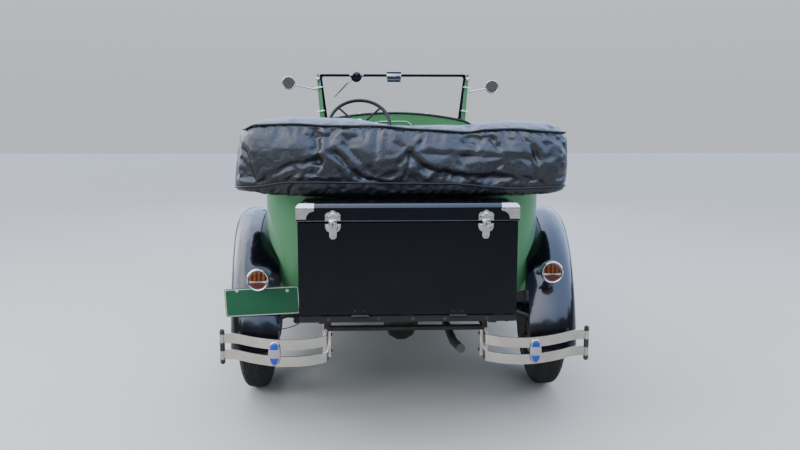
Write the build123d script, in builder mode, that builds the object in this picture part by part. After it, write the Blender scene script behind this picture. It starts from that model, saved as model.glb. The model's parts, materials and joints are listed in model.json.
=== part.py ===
from build123d import *
from math import atan2, cos, pi, radians, sin, sqrt
import os

# An open four-door touring car of the late 1920s, its top folded under a cover, a trunk on a rear rack.
# Millimetres, +Z up, +Y towards the front of the car, +X to its right side.
# The origin is on the ground, midway between the faces of the front bumper and of the trunk's latches.

# Driving dimensions
LENGTH = 4110
WHEELBASE = 2629
REAR_OVERHANG = 835
TRACK = 1422
TYRE_RADIUS = 378
TYRE_WIDTH = 118
FRONT_Y = LENGTH / 2
BACK_Y = -LENGTH / 2
REAR_AXLE_Y = BACK_Y + REAR_OVERHANG
FRONT_AXLE_Y = REAR_AXLE_Y + WHEELBASE
AXLE_Z = TYRE_RADIUS
HALF_TRACK = TRACK / 2
MOVING_GAP = 5
SIDES = (("left", -1), ("right", 1))


def fore(distance):
    """Y of a place that far ahead of the rear axle."""
    return REAR_AXLE_Y + distance


# Chassis
RAIL_X = 345
RAIL_FRONT_X = 280
RAIL_HALF_WIDTH = 22
RAIL_TOP_Z = 556
RAIL_HEIGHT = 96
RAIL_LOW_Z = RAIL_TOP_Z - RAIL_HEIGHT
RAIL_REAR_Y = fore(-560)
RAIL_BEND_Y = fore(1500)
RAIL_FRONT_Y = FRONT_AXLE_Y + 150
KINGPIN_X = 600
PIN_RADIUS = 11
SPINDLE_RADIUS = 15
HUB_BORE = 16
TIE_ROD_Y = FRONT_AXLE_Y - 150
REAR_SPRING_Y = fore(-190)

# Body
BODY_LOW_Z = 560
BODY_TOP_Z = 1122
BODY_WALL = 38
FLOOR_TOP_Z = 574
BELT_LOW_Z = 1045
BELT_HEIGHT = 22
BELT_PROUD = 5
DASH_Y = fore(1430)
FIREWALL_Y = fore(1800)
RADIATOR_Y = fore(2505)
TUB_REAR_Y = fore(-440)
TUB_HALF_FRONT = 592
TUB_HALF_MIDDLE = 655
TUB_HALF_REAR = 628
TUB_CORNER_RADIUS = 240
WHEELHOUSE_RADIUS = 440
WHEELHOUSE_X = 592
DOOR_LOW_Z = 584
DOOR_ARCH_RADIUS = 532

# Trunk, lamps and cover, measured on the photograph
TRUNK_HALF_WIDTH = 438
TRUNK_REAR_Y = BACK_Y + 20
TRUNK_FRONT_Y = TRUNK_REAR_Y + 358
TRUNK_LOW_Z = 566
TRUNK_SEAM_Z = 944
TRUNK_TOP_Z = 1014
TRUNK_WALL = 12
LATCH_XS = (-297, 307)

# Steering: centre of the wheel, slope of the column below the horizontal
STEERING_HUB = (-225, fore(1050), 1322)
COLUMN_SLOPE = radians(36)
STEERING_WHEEL_RADIUS = 205


def keep(piece, label):
    """Names a finished piece and writes its file."""
    piece.label = label
    export_step(piece, f"parts/{label}.step")


def block(low, high, mode=Mode.ADD):
    """A box between two corners, in the piece being built."""
    size = [h - l for l, h in zip(low, high)]
    centre = tuple((h + l) / 2 for l, h in zip(low, high))
    with Locations(centre):
        Box(*size, mode=mode)


def rod(start, end, radius, mode=Mode.ADD):
    """A round bar between two points, in the piece being built."""
    start, end = Vector(*start), Vector(*end)
    with Locations(Plane(origin=(start + end) * 0.5, z_dir=end - start)):
        Cylinder(radius, (end - start).length, mode=mode)


def bent_rod(points, radius, bend):
    """A round bar along straight runs joined by arcs, in the piece being built."""
    with BuildLine() as path:
        FilletPolyline(*points, radius=bend)
    with BuildSketch(Plane(origin=path.line @ 0, z_dir=path.line % 0)) as section:
        Circle(radius)
    sweep(section.sketch, path=path.line)


def turned(profile, centre, side=1):
    """A body of revolution about the X line through centre, from points of (radius, distance outboard)."""
    with BuildSketch(Plane(origin=centre, x_dir=(0, 0, 1), z_dir=(0, 1, 0))) as section:
        with BuildLine():
            Polyline(*[(radius, side * out) for radius, out in profile], close=True)
        make_face()
    revolve(section.sketch, axis=Axis(centre, (1, 0, 0)))


def turned_back(profile, centre):
    """A body of revolution about the Y line through centre, from points of (radius, distance forward)."""
    with BuildSketch(Plane(origin=centre, x_dir=(1, 0, 0), z_dir=(0, 0, 1))) as section:
        with BuildLine():
            Polyline(*profile, close=True)
        make_face()
    revolve(section.sketch, axis=Axis(centre, (0, 1, 0)))


# Bonnet line: flat sides, round shoulders and a crowned top
# half width, height of the top, radius of the crown, radius of the shoulder
RADIATOR_SECTION = (268, 1172, 520, 90)
FIREWALL_SECTION = (368, 1275, 900, 130)
DASH_SECTION = (592, 1405, 2250, 150)
SHELL_SECTION = (278, 1182, 530, 100)


def humped(y, section, low_z, inset=0.0):
    """The closed cross-section of the bonnet line at y, from low_z up."""
    half, top, crown, shoulder = [value - inset for value in section]
    crown_z = top - crown
    centre_x = half - shoulder
    centre_z = crown_z + sqrt((crown - shoulder) ** 2 - centre_x**2)
    lean = atan2(centre_x, centre_z - crown_z)
    meet = (crown * sin(lean), crown_z + crown * cos(lean))
    middle = (lean + pi / 2) / 2
    bulge = (centre_x + shoulder * sin(middle), centre_z + shoulder * cos(middle))
    with BuildSketch(Plane(origin=(0, y, 0), x_dir=(1, 0, 0), z_dir=(0, -1, 0))) as outline:
        with BuildLine():
            Line((-half, low_z), (half, low_z))
            Line((half, low_z), (half, centre_z))
            ThreePointArc((half, centre_z), bulge, meet)
            ThreePointArc(meet, (0, top), (-meet[0], meet[1]))
            ThreePointArc((-meet[0], meet[1]), (-bulge[0], bulge[1]), (-half, centre_z))
            Line((-half, centre_z), (-half, low_z))
        make_face()
    return outline.sketch


def humped_shell(y_a, section_a, y_b, section_b, low_z, wall):
    """A hollow length of the bonnet line between two sections, open below and at both ends."""
    outer = [humped(y_a, section_a, low_z), humped(y_b, section_b, low_z)]
    inner = [humped(y_a, section_a, low_z - 1, wall), humped(y_b, section_b, low_z - 1, wall)]
    with BuildPart() as shell:
        loft(outer, ruled=True)
        loft(inner, ruled=True, mode=Mode.SUBTRACT)
    return shell.part


# Wheels and tyres

SPOKE_PAIRS = 15
SPOKE_RADIUS = 3.6
SPOKE_RIM_RADIUS = 242
# half row: distance outboard and radius at the hub, distance outboard at the rim, lead round the wheel
SPOKE_ROWS = ((-38, 78, -10, 0.16), (36, 50, 10, -0.16))


def wheel_part(centre, side):
    """A wire wheel: drop-centre rim, brake drum, hub shell and two rows of spokes."""
    x, y, z = centre
    rim = [(267, -52), (281, -52), (283, -47), (270, -42), (266, -28), (246, -18), (246, 18), (266, 28),
           (270, 42), (283, 47), (281, 52), (267, 52), (258, 30), (239, 20), (239, -20), (258, -30)]
    hub = [(HUB_BORE, -46), (84, -46), (84, -36), (52, -30), (46, 28), (58, 32), (58, 42), (44, 62), (HUB_BORE, 62)]
    drum = [(70, -46), (136, -46), (136, -70), (142, -70), (142, -40), (70, -40)]
    cap = [(0, 62), (30, 62), (34, 72), (28, 84), (0, 88)]
    with BuildPart() as wheel:
        for profile in (rim, hub, drum, cap):
            turned(profile, centre, side)
        for row_out, row_radius, rim_out, lead in SPOKE_ROWS:
            spokes = []
            for pair in range(SPOKE_PAIRS):
                start = 2 * pi * (pair + (row_out > 0) / 2) / SPOKE_PAIRS
                end = start + lead
                foot = Vector(x + side * row_out, y + row_radius * cos(start), z + row_radius * sin(start))
                head = Vector(x + side * rim_out, y + SPOKE_RIM_RADIUS * cos(end), z + SPOKE_RIM_RADIUS * sin(end))
                spokes.append(Plane(origin=(foot + head) * 0.5, z_dir=head - foot))
            with Locations(*spokes):
                Cylinder(SPOKE_RADIUS, (head - foot).length)
    return wheel.part


def tyre_part(centre):
    """A narrow tyre with a flat tread and full walls that draw in to the rim."""
    outer = TYRE_RADIUS
    half = TYRE_WIDTH / 2
    wall = [(outer, half - 19), (outer - 40, half), (270.5, 41)]
    with BuildPart() as tyre:
        turned([(radius, -out) for radius, out in reversed(wall)] + wall, centre)
    return tyre.part


def knuckle_part(side):
    """A front steering knuckle: forked about the axle end, with spindle, backing plate and steering arm."""
    y, z = FRONT_AXLE_Y, AXLE_Z
    with BuildPart() as knuckle:
        block((KINGPIN_X, y - 20, z - 58), (KINGPIN_X + 34, y + 20, z + 58))
        rod((KINGPIN_X, y, z - 58), (KINGPIN_X, y, z + 58), 24)
        block((KINGPIN_X - 60, y - 30, z - 29), (KINGPIN_X + 25, y + 30, z + 29), mode=Mode.SUBTRACT)
        rod((KINGPIN_X, y, z - 59), (KINGPIN_X, y, z + 59), PIN_RADIUS + 0.5, mode=Mode.SUBTRACT)
        rod((KINGPIN_X + 25, y, z), (KINGPIN_X + 36, y, z), 32)
        rod((KINGPIN_X + 31, y, z), (KINGPIN_X + 36, y, z), 138)
        rod((KINGPIN_X + 30, y, z), (HALF_TRACK + 56, y, z), SPINDLE_RADIUS)
        block((KINGPIN_X - 11, TIE_ROD_Y, z - 58), (KINGPIN_X + 11, y - 18, z - 44))
        rod((KINGPIN_X, TIE_ROD_Y, z - 58), (KINGPIN_X, TIE_ROD_Y, z - 44), 14)
        rod((KINGPIN_X, TIE_ROD_Y, z - 92), (KINGPIN_X, TIE_ROD_Y, z - 50), 6)
    return knuckle.part if side > 0 else mirror(knuckle.part, about=Plane.YZ)


def tie_rod_part():
    """The rod that joins the two steering arms: a close eye on the left, an easy one on the right."""
    z = AXLE_Z - 78
    with BuildPart() as tie_rod:
        rod((-KINGPIN_X, TIE_ROD_Y, z), (KINGPIN_X, TIE_ROD_Y, z), 9)
        for _, side in SIDES:
            rod((side * KINGPIN_X, TIE_ROD_Y, z - 11), (side * KINGPIN_X, TIE_ROD_Y, z + 11), 16)
        rod((-KINGPIN_X, TIE_ROD_Y, z - 12), (-KINGPIN_X, TIE_ROD_Y, z + 12), 6.5, mode=Mode.SUBTRACT)
        rod((KINGPIN_X, TIE_ROD_Y, z - 12), (KINGPIN_X, TIE_ROD_Y, z + 12), 8, mode=Mode.SUBTRACT)
    return tie_rod.part


# Chassis pieces


def rail_plan(side, z, outer, inner):
    """Plan of one side rail, parallel behind and drawn in towards the radiator."""
    stations = ((RAIL_REAR_Y, RAIL_X), (RAIL_BEND_Y, RAIL_X), (RAIL_FRONT_Y, RAIL_FRONT_X))
    outer_points = [(side * (x + outer), y) for y, x in stations]
    inner_points = [(side * (x + inner), y) for y, x in reversed(stations)]
    with BuildSketch(Plane.XY.offset(z)) as plan:
        with BuildLine():
            Polyline(*outer_points, *inner_points, close=True)
        make_face()
    return plan.sketch


# distance ahead of the rear axle, half depth, lowest z, half width
CROSSMEMBERS = ((-190, 40, 516, 340), (1470, 35, 480, 340), (2535, 30, 500, 280), (WHEELBASE, 35, 490, 275))
RAIL_SHEET = 7


def frame_part():
    """Two channel rails with their crossmembers, spring seats and fender irons."""
    with BuildPart() as frame:
        for _, side in SIDES:
            extrude(rail_plan(side, RAIL_LOW_Z, RAIL_HALF_WIDTH, -RAIL_HALF_WIDTH), amount=RAIL_HEIGHT)
            pocket = rail_plan(side, RAIL_LOW_Z + RAIL_SHEET, RAIL_HALF_WIDTH - RAIL_SHEET, -RAIL_HALF_WIDTH - 1)
            extrude(pocket, amount=RAIL_HEIGHT - 2 * RAIL_SHEET, mode=Mode.SUBTRACT)
        for ahead, half_depth, low_z, half_width in CROSSMEMBERS:
            block((-half_width, fore(ahead) - half_depth, low_z),
                  (half_width, fore(ahead) + half_depth, RAIL_TOP_Z - 1))
        block((-60, REAR_SPRING_Y - 40, 467.5), (60, REAR_SPRING_Y + 40, 520))
        for _, side in SIDES:
            rod((side * 338, fore(2250), 520), (side * 451, fore(2250), 742), 11)
            rod((side * 300, FRONT_AXLE_Y + 60, 520), (side * 426, FRONT_AXLE_Y + 60, 742), 11)
            rod((side * 360, fore(-490), 540), (side * 557, fore(-490), 470), 10)
            for ahead in (620, 1100, 1600):
                rod((side * 360, fore(ahead), 474), (side * 606, fore(ahead), 343), 10)
                rod((side * 606, fore(ahead), 343), (side * 820, fore(ahead), 343), 10)
    return frame.part


SPRING_LEAVES = 6
LEAF_THICKNESS = 7


def leaf_spring(y, centre_z, end_z, half_span):
    """A crosswise stack of bowed leaves, the longest at the bottom."""
    with BuildPart() as spring:
        for leaf in range(SPRING_LEAVES):
            reach = half_span * (1 - 0.13 * leaf)
            rise = leaf * LEAF_THICKNESS
            end = centre_z + (end_z - centre_z) * (reach / half_span) ** 2
            top = LEAF_THICKNESS + 0.5
            with BuildSketch(Plane(origin=(0, y + 24, rise), x_dir=(1, 0, 0), z_dir=(0, -1, 0))) as strip:
                with BuildLine():
                    ThreePointArc((-reach, end), (0, centre_z), (reach, end))
                    Line((reach, end), (reach, end + top))
                    ThreePointArc((reach, end + top), (0, centre_z + top), (-reach, end + top))
                    Line((-reach, end + top), (-reach, end))
                make_face()
            extrude(strip.sketch, amount=48)
    return spring.part


def front_axle_part():
    """The dropped front beam with its kingpins, spring perches and radius arms."""
    y, z = FRONT_AXLE_Y, AXLE_Z
    with BuildPart() as axle:
        block((-500, y - 20, z - 68), (500, y + 20, z - 18))
        block((-480, y - 21, z - 58), (480, y - 8, z - 28), mode=Mode.SUBTRACT)
        block((-480, y + 8, z - 58), (480, y + 21, z - 28), mode=Mode.SUBTRACT)
        for _, side in SIDES:
            rod((side * 485, y, z - 43), (side * 590, y, z), 19)
            rod((side * KINGPIN_X, y, z - 25), (side * KINGPIN_X, y, z + 25), 20)
            rod((side * KINGPIN_X, y, z - 62), (side * KINGPIN_X, y, z + 62), PIN_RADIUS)
            rod((side * 420, y, z - 40), (side * 408, y, z + 20), 13)
            block((min(side * 396, side * 418), y - 12, z + 10), (max(side * 396, side * 418), y + 12, z + 29.9))
            rod((side * 420, y, z - 43), (side * 40, fore(1540), z + 2), 14)
        rod((-45, fore(1540), z + 2), (45, fore(1540), z + 2), 20)
    return axle.part


def rear_axle_part():
    """The rear axle: differential, tapered tubes, torque tube, backing plates and wheel shafts."""
    y, z = REAR_AXLE_Y, AXLE_Z
    with BuildPart() as axle:
        turned([(0, -90), (70, -88), (128, -60), (150, -20), (150, 20), (128, 60), (70, 88), (0, 90)], (0, y, z))
        for _, side in SIDES:
            turned([(0, 80), (62, 80), (36, 560), (36, 624), (0, 624)], (0, y, z), side)
            turned([(0, 620), (138, 620), (138, 634), (0, 634)], (0, y, z), side)
            rod((side * 630, y, z), (side * (HALF_TRACK + 56), y, z), SPINDLE_RADIUS)
            rod((side * 515, y - 20, z), (side * 515, REAR_SPRING_Y, z), 16)
        rod((0, y + 100, z), (0, fore(1520), z + 60), 34)
    return axle.part


def engine_part():
    """Engine, gearbox and exhaust run, closed in under the bonnet and the floor."""
    with BuildPart() as engine:
        block((-170, fore(1900), 420), (170, fore(2400), 930))
        fillet(engine.edges().filter_by(Axis.Z), radius=18)
        block((-120, fore(1590), 410), (120, fore(1925), 552))
        for _, side in SIDES:
            block((min(side * 165, side * 300), fore(1920), 500), (max(side * 165, side * 300), fore(1960), 530))
        block((165, fore(2280), 540), (215, fore(2320), 620))
        bent_rod([(190, fore(2300), 560), (190, fore(1800), 400), (235, fore(1300), 400), (235, fore(880), 400)],
                 24, 90)
        rod((235, fore(900), 400), (235, fore(460), 400), 58)
        bent_rod([(235, fore(470), 400), (235, fore(300), 400), (240, fore(100), 286), (245, fore(-250), 286),
                  (250, fore(-520), 330)], 20, 60)
    return engine.part


# Body


def tub_plan(z, inset=0.0):
    """Outline of the open body in plan."""
    side_middle_y = (DASH_Y + TUB_REAR_Y) / 2
    corner_y = TUB_REAR_Y + 25
    with BuildSketch(Plane.XY.offset(z)) as plan:
        with BuildLine():
            Line((-TUB_HALF_FRONT, DASH_Y), (TUB_HALF_FRONT, DASH_Y))
            ThreePointArc((TUB_HALF_FRONT, DASH_Y), (TUB_HALF_MIDDLE, side_middle_y), (TUB_HALF_REAR, corner_y))
            ThreePointArc((TUB_HALF_REAR, corner_y), (0, TUB_REAR_Y), (-TUB_HALF_REAR, corner_y))
            ThreePointArc((-TUB_HALF_REAR, corner_y), (-TUB_HALF_MIDDLE, side_middle_y), (-TUB_HALF_FRONT, DASH_Y))
        make_face()
        fillet(plan.vertices().group_by(Axis.Y)[0], radius=TUB_CORNER_RADIUS)
        if inset:
            offset(amount=-inset)
    return plan.sketch


def tub_solid(clearance=0.0):
    """The filled outer shape of the body, for cutting what lies against it."""
    with BuildPart() as solid:
        extrude(tub_plan(BODY_LOW_Z, -clearance), amount=BODY_TOP_Z - BODY_LOW_Z + clearance)
        split(bisect_by=Plane.YZ, keep=Keep.TOP)
        mirror(about=Plane.YZ)
    return solid.part


def side_shell():
    """The right half of the body's wall before its doors are cut, with a rounded top edge and a belt bead."""
    with BuildPart() as bead:
        extrude(tub_plan(BELT_LOW_Z, -BELT_PROUD), amount=BELT_HEIGHT)
        extrude(tub_plan(BELT_LOW_Z, BODY_WALL / 2), amount=BELT_HEIGHT, mode=Mode.SUBTRACT)
    with BuildPart() as shell:
        extrude(tub_plan(BODY_LOW_Z), amount=BODY_TOP_Z - BODY_LOW_Z)
        extrude(tub_plan(BODY_LOW_Z, BODY_WALL), amount=BODY_TOP_Z - BODY_LOW_Z, mode=Mode.SUBTRACT)
        fillet(shell.edges().filter_by(Plane.XY).group_by(Axis.Z)[-1], radius=12)
        add(bead.part)
        block((-800, DASH_Y, 500), (800, DASH_Y + 50, 1200), mode=Mode.SUBTRACT)
        block((-500, DASH_Y - 60, 500), (500, DASH_Y + 50, 1200), mode=Mode.SUBTRACT)
        split(bisect_by=Plane.YZ, keep=Keep.TOP)
    return shell.part


# name, rear edge and front edge ahead of the rear axle
DOORS = (("rear", 140, 735), ("front", 800, 1355))
HINGE_ZS = (720, 1000)
HINGE_RADIUS = 6
HINGE_OUT = 7


def side_x(y, outward=0.0):
    """Half width of the body at y, from the arc of its side."""
    y_front, y_middle, y_rear = DASH_Y, (DASH_Y + TUB_REAR_Y) / 2, TUB_REAR_Y + 25
    arc = ThreePointArc((TUB_HALF_FRONT, y_front), (TUB_HALF_MIDDLE, y_middle), (TUB_HALF_REAR, y_rear))
    centre = arc.arc_center
    return centre.X + sqrt(arc.radius**2 - (y - centre.Y) ** 2) + outward


def hinge_place(front_edge):
    """Where the upright hinge line of a right-hand door stands in plan."""
    y = fore(front_edge)
    return side_x(y, HINGE_OUT), y


def door_region(rear_edge, front_edge, clearance):
    """The space of one door: between its edges, above the sill and clear of the rear fender's arch."""
    with BuildPart() as region:
        block((500, fore(rear_edge) + clearance, DOOR_LOW_Z + clearance),
              (700, fore(front_edge) - clearance, BODY_TOP_Z + 50))
        rod((500, REAR_AXLE_Y, AXLE_Z), (700, REAR_AXLE_Y, AXLE_Z), DOOR_ARCH_RADIUS + clearance, mode=Mode.SUBTRACT)
    return region.part


def door_part(shell, rear_edge, front_edge):
    """A right-hand door, cut out of the side wall, with its hinge barrels and handle."""
    x, y = hinge_place(front_edge)
    with BuildPart() as door:
        add(shell)
        add(door_region(rear_edge, front_edge, MOVING_GAP), mode=Mode.INTERSECT)
        for z in HINGE_ZS:
            rod((x, y, z - 28), (x, y, z), HINGE_RADIUS)
            block((x - 14, y - 30, z - 26), (x, y - 2, z - 2))
        handle_y = fore(rear_edge) + 60
        handle_x = side_x(handle_y)
        rod((handle_x - 8, handle_y, 1010), (handle_x + 38, handle_y, 1010), 8)
        rod((handle_x + 38, handle_y - 12, 1010), (handle_x + 38, handle_y + 92, 1004), 8)
    return door.part


def wheel_arch(outer_x, radius):
    """A round block about the rear axle, from the wheelhouse's inner face outwards."""
    with BuildPart() as arch:
        rod((WHEELHOUSE_X, REAR_AXLE_Y, AXLE_Z), (outer_x, REAR_AXLE_Y, AXLE_Z), radius)
    return arch.part


def body_tub_part(shell):
    """The body without its doors: rear panel, posts, sills, wheelhouses and floor."""
    with BuildPart() as wheelhouse:
        add(wheel_arch(640, WHEELHOUSE_RADIUS + 10))
        extrude(tub_plan(BODY_LOW_Z, 4), amount=BODY_TOP_Z - BODY_LOW_Z, mode=Mode.INTERSECT)
    with BuildPart() as tub:
        add(shell)
        for _, rear_edge, front_edge in DOORS:
            add(door_region(rear_edge, front_edge, 0), mode=Mode.SUBTRACT)
        add(wheelhouse.part)
        extrude(tub_plan(BODY_LOW_Z, BODY_WALL - 3), amount=FLOOR_TOP_Z - BODY_LOW_Z)
        rod((WHEELHOUSE_X + 8, REAR_AXLE_Y, AXLE_Z), (760, REAR_AXLE_Y, AXLE_Z), WHEELHOUSE_RADIUS,
            mode=Mode.SUBTRACT)
        for _, _, front_edge in DOORS:
            x, y = hinge_place(front_edge)
            for z in HINGE_ZS:
                rod((x, y, z + 1), (x, y, z + 29), HINGE_RADIUS)
                block((x - 14, y + 2, z + 3), (x, y + 30, z + 27))
        split(bisect_by=Plane.YZ, keep=Keep.TOP)
        mirror(about=Plane.YZ)
    return tub.part


COWL_WALL = 22
COLUMN_HOLE = 32


def column_point(distance):
    """A point on the steering column's line, that far down from the steering wheel."""
    x, y, z = STEERING_HUB
    return x, y + distance * cos(COLUMN_SLOPE), z - distance * sin(COLUMN_SLOPE)


def cowl_fill(inset):
    """The filled shape of the cowl, smaller all round by inset."""
    sections = ((DASH_Y, DASH_SECTION), (FIREWALL_Y, FIREWALL_SECTION))
    with BuildPart() as fill:
        loft([humped(y, section, BODY_LOW_Z, inset) for y, section in sections], ruled=True)
    return fill.part


def cowl_part():
    """The scuttle from the instrument panel to the firewall, with the toe board and its floor."""
    fill = cowl_fill(3)
    with BuildPart() as boards:
        add(fill)
        block((-700, DASH_Y - 1, FLOOR_TOP_Z), (700, FIREWALL_Y - 12, 1500), mode=Mode.SUBTRACT)
    with BuildPart() as toe_board:
        with BuildSketch(Plane.YZ.offset(-700)) as slope:
            with BuildLine():
                Polyline((fore(1560), FLOOR_TOP_Z - 2), (fore(1580), FLOOR_TOP_Z - 2), (fore(1792), 790),
                         (fore(1780), 800), close=True)
            make_face()
        extrude(amount=1400)
        add(fill, mode=Mode.INTERSECT)
    with BuildPart() as cowl:
        add(humped_shell(DASH_Y, DASH_SECTION, FIREWALL_Y, FIREWALL_SECTION, BODY_LOW_Z, COWL_WALL))
        add(boards.part)
        add(toe_board.part)
        rod(column_point(500), column_point(1100), COLUMN_HOLE, mode=Mode.SUBTRACT)
    return cowl.part


def instrument_panel_part():
    """The panel under the cowl's rear edge, with a raised oval for the dials."""
    with BuildPart() as panel:
        extrude(humped(DASH_Y - 2, DASH_SECTION, 1190, COWL_WALL + 0.5), amount=10)
        with BuildSketch(Plane(origin=(0, DASH_Y - 12, 1285), x_dir=(1, 0, 0), z_dir=(0, -1, 0))) as cluster:
            SlotCenterToCenter(150, 120)
        extrude(cluster.sketch, amount=8)
    return panel.part


HOOD_LOW_Z = 660
HOOD_SHEET = 6
HOOD_HINGE_RADIUS = 7
HOOD_HINGE_CUT = 9
HOOD_REAR = (0, FIREWALL_Y + MOVING_GAP, 1275 - 3)
HOOD_FRONT = (0, RADIATOR_Y - MOVING_GAP, 1172 - 3)


LOUVRES = 20
LOUVRE_PITCH = 26
LOUVRE_LENGTH = 17
LOUVRE_REAR = 1890
LOUVRE_LOW_Z = 790
LOUVRE_HIGH_Z = 965
LOUVRE_PROUD = 7


def hood_x(y):
    """Half width of the bonnet at y."""
    share = (y - HOOD_REAR[1]) / (HOOD_FRONT[1] - HOOD_REAR[1])
    return FIREWALL_SECTION[0] + (RADIATOR_SECTION[0] - FIREWALL_SECTION[0]) * share


def louvres_part(side):
    """The row of air louvres in one side of the bonnet, each open at its rear end."""
    with BuildPart() as louvres:
        with BuildSketch(Plane.XY.offset(LOUVRE_LOW_Z)) as plan:
            for index in range(LOUVRES):
                rear = fore(LOUVRE_REAR + index * LOUVRE_PITCH)
                front = rear + LOUVRE_LENGTH
                with BuildLine():
                    Polyline((side * (hood_x(front) - 3), front), (side * hood_x(front), front),
                             (side * (hood_x(rear) + LOUVRE_PROUD), rear), (side * (hood_x(rear) - 3), rear),
                             close=True)
                make_face()
        extrude(plan.sketch, amount=LOUVRE_HIGH_Z - LOUVRE_LOW_Z)
    return louvres.part


def hood_half(side):
    """One side of the bonnet, from the centre hinge down to its sill, with louvres and a handle."""
    x_low, x_high = sorted((0, side * 500))
    with BuildPart() as hood:
        add(humped_shell(HOOD_REAR[1], FIREWALL_SECTION, HOOD_FRONT[1], RADIATOR_SECTION, HOOD_LOW_Z, HOOD_SHEET))
        block((x_low, HOOD_REAR[1] - 10, 500), (x_high, HOOD_FRONT[1] + 10, 1400), mode=Mode.INTERSECT)
        rod((0, HOOD_REAR[1] - 50, 1272 + 7.3), (0, HOOD_FRONT[1] + 50, 1169 - 7.4), HOOD_HINGE_CUT,
            mode=Mode.SUBTRACT)
        add(louvres_part(side))
        rod((side * 325, fore(2050), 735), (side * 362, fore(2050), 735), 5)
        rod((side * 362, fore(2028), 735), (side * 362, fore(2072), 735), 7)
    return hood.part


def hood_hinge_part():
    """The long pin that both halves of the bonnet turn about, carried by cowl and radiator."""
    with BuildPart() as pin:
        rod((0, FIREWALL_Y + 1.5, 1272), (0, RADIATOR_Y - 1.5, 1169), HOOD_HINGE_RADIUS)
    return pin.part


def hood_sills_part():
    """The upright sheets between the rails and the lower edges of the bonnet."""
    with BuildPart() as sills:
        for _, side in SIDES:
            with BuildSketch(Plane.XY.offset(RAIL_TOP_Z)) as plan:
                with BuildLine():
                    Polyline((side * 350, FIREWALL_Y), (side * 362, FIREWALL_Y), (side * 300, RADIATOR_Y + 40),
                             (side * 288, RADIATOR_Y + 40), close=True)
                make_face()
            extrude(plan.sketch, amount=HOOD_LOW_Z - MOVING_GAP - RAIL_TOP_Z)
    return sills.part


def radiator_shell_part():
    """The bright shell round the radiator core, open before and behind, with its filler cap."""
    low_z = RAIL_TOP_Z
    with BuildPart() as shell:
        extrude(humped(RADIATOR_Y + 62, SHELL_SECTION, low_z), amount=62)
        fillet(shell.faces().sort_by(Axis.Y)[-1].edges(), radius=12)
        extrude(humped(RADIATOR_Y + 63, SHELL_SECTION, low_z + 34, 30), amount=64, mode=Mode.SUBTRACT)
        with Locations((0, RADIATOR_Y + 31, SHELL_SECTION[1])):
            Cylinder(22, 34)
            Cylinder(32, 16, align=(Align.CENTER, Align.CENTER, Align.MIN))
    return shell.part


FIN_GAPS = 27


def radiator_core_part():
    """The core, which fills the shell, with upright fins in front."""
    with BuildPart() as core:
        extrude(humped(RADIATOR_Y + 50, SHELL_SECTION, RAIL_TOP_Z + 34, 30), amount=42)
        front = Plane(origin=(0, RADIATOR_Y + 51, 850), x_dir=(1, 0, 0), z_dir=(0, -1, 0))
        with BuildSketch(front) as gaps:
            with GridLocations(18, 0, FIN_GAPS, 1):
                Rectangle(8, 700)
        extrude(gaps.sketch, amount=5, mode=Mode.SUBTRACT)
    return core.part


# Fenders: stations along their run
FENDER_SHEET = 5


def fender_section(y, z, turn, x_in, x_out, edge, drop, skirt_in, skirt_out):
    """A fender's cross-section, square to its run: crown, rounded outer edge and two skirts."""
    sheet = FENDER_SHEET
    crown_x = x_out - edge
    crown_radius = ((crown_x - x_in) ** 2 + drop**2) / (2 * drop)
    middle_x = (x_in + crown_x) / 2
    inner_x = x_in + sheet

    def crown(x, depth):
        return sqrt((crown_radius - depth) ** 2 - (crown_x - x) ** 2) - crown_radius

    def corner(depth):
        reach = (edge - depth) * sqrt(0.5)
        return crown_x + reach, reach - edge

    with BuildSketch(Plane(origin=(0, y, z), x_dir=(1, 0, 0), z_dir=(0, -sin(turn), cos(turn)))) as section:
        with BuildLine():
            Line((x_in, -drop - skirt_in), (x_in, -drop))
            ThreePointArc((x_in, -drop), (middle_x, crown(middle_x, 0)), (crown_x, 0))
            ThreePointArc((crown_x, 0), corner(0), (x_out, -edge))
            Line((x_out, -edge), (x_out, -edge - skirt_out))
            Line((x_out, -edge - skirt_out), (x_out - sheet, -edge - skirt_out))
            Line((x_out - sheet, -edge - skirt_out), (x_out - sheet, -edge))
            ThreePointArc((x_out - sheet, -edge), corner(sheet), (crown_x, -sheet))
            ThreePointArc((crown_x, -sheet), (middle_x, crown(middle_x, sheet)), (inner_x, crown(inner_x, sheet)))
            Line((inner_x, crown(inner_x, sheet)), (inner_x, -drop - skirt_in))
            Line((inner_x, -drop - skirt_in), (x_in, -drop - skirt_in))
        make_face()
    return section.sketch


# angle round the axle, radius of the crown, inner x, outer x, edge radius, drop of the crown, skirts
REAR_FENDER = (
    (0, 520, 600, 838, 60, 20, 15, 8),
    (45, 520, 600, 830, 85, 30, 30, 8),
    (90, 533, 600, 818, 92, 40, 40, 8),
    (135, 525, 572, 790, 84, 32, 60, 8),
    (165, 533, 560, 778, 70, 24, 70, 8),
    (185, 560, 562, 774, 60, 18, 70, 8),
)
# distance ahead of the front axle, height, outward direction, inner x, outer x, edge, drop, skirts
FRONT_FENDER = (
    (468, 503, 12, 445, 825, 70, 60, 15, 8),
    (350, 728, 43, 432, 846, 90, 85, 25, 8),
    (131, 866, 75, 425, 851, 95, 90, 40, 8),
    (-60, 882, 94, 425, 851, 95, 90, 60, 8),
    (-300, 800, 118, 450, 851, 90, 70, 70, 8),
    (-520, 640, 129, 500, 851, 70, 45, 40, 8),
    (-740, 475, 122, 560, 851, 45, 25, 20, 8),
    (-955, 394, 96, 600, 851, 25, 12, 10, 8),
)


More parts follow.
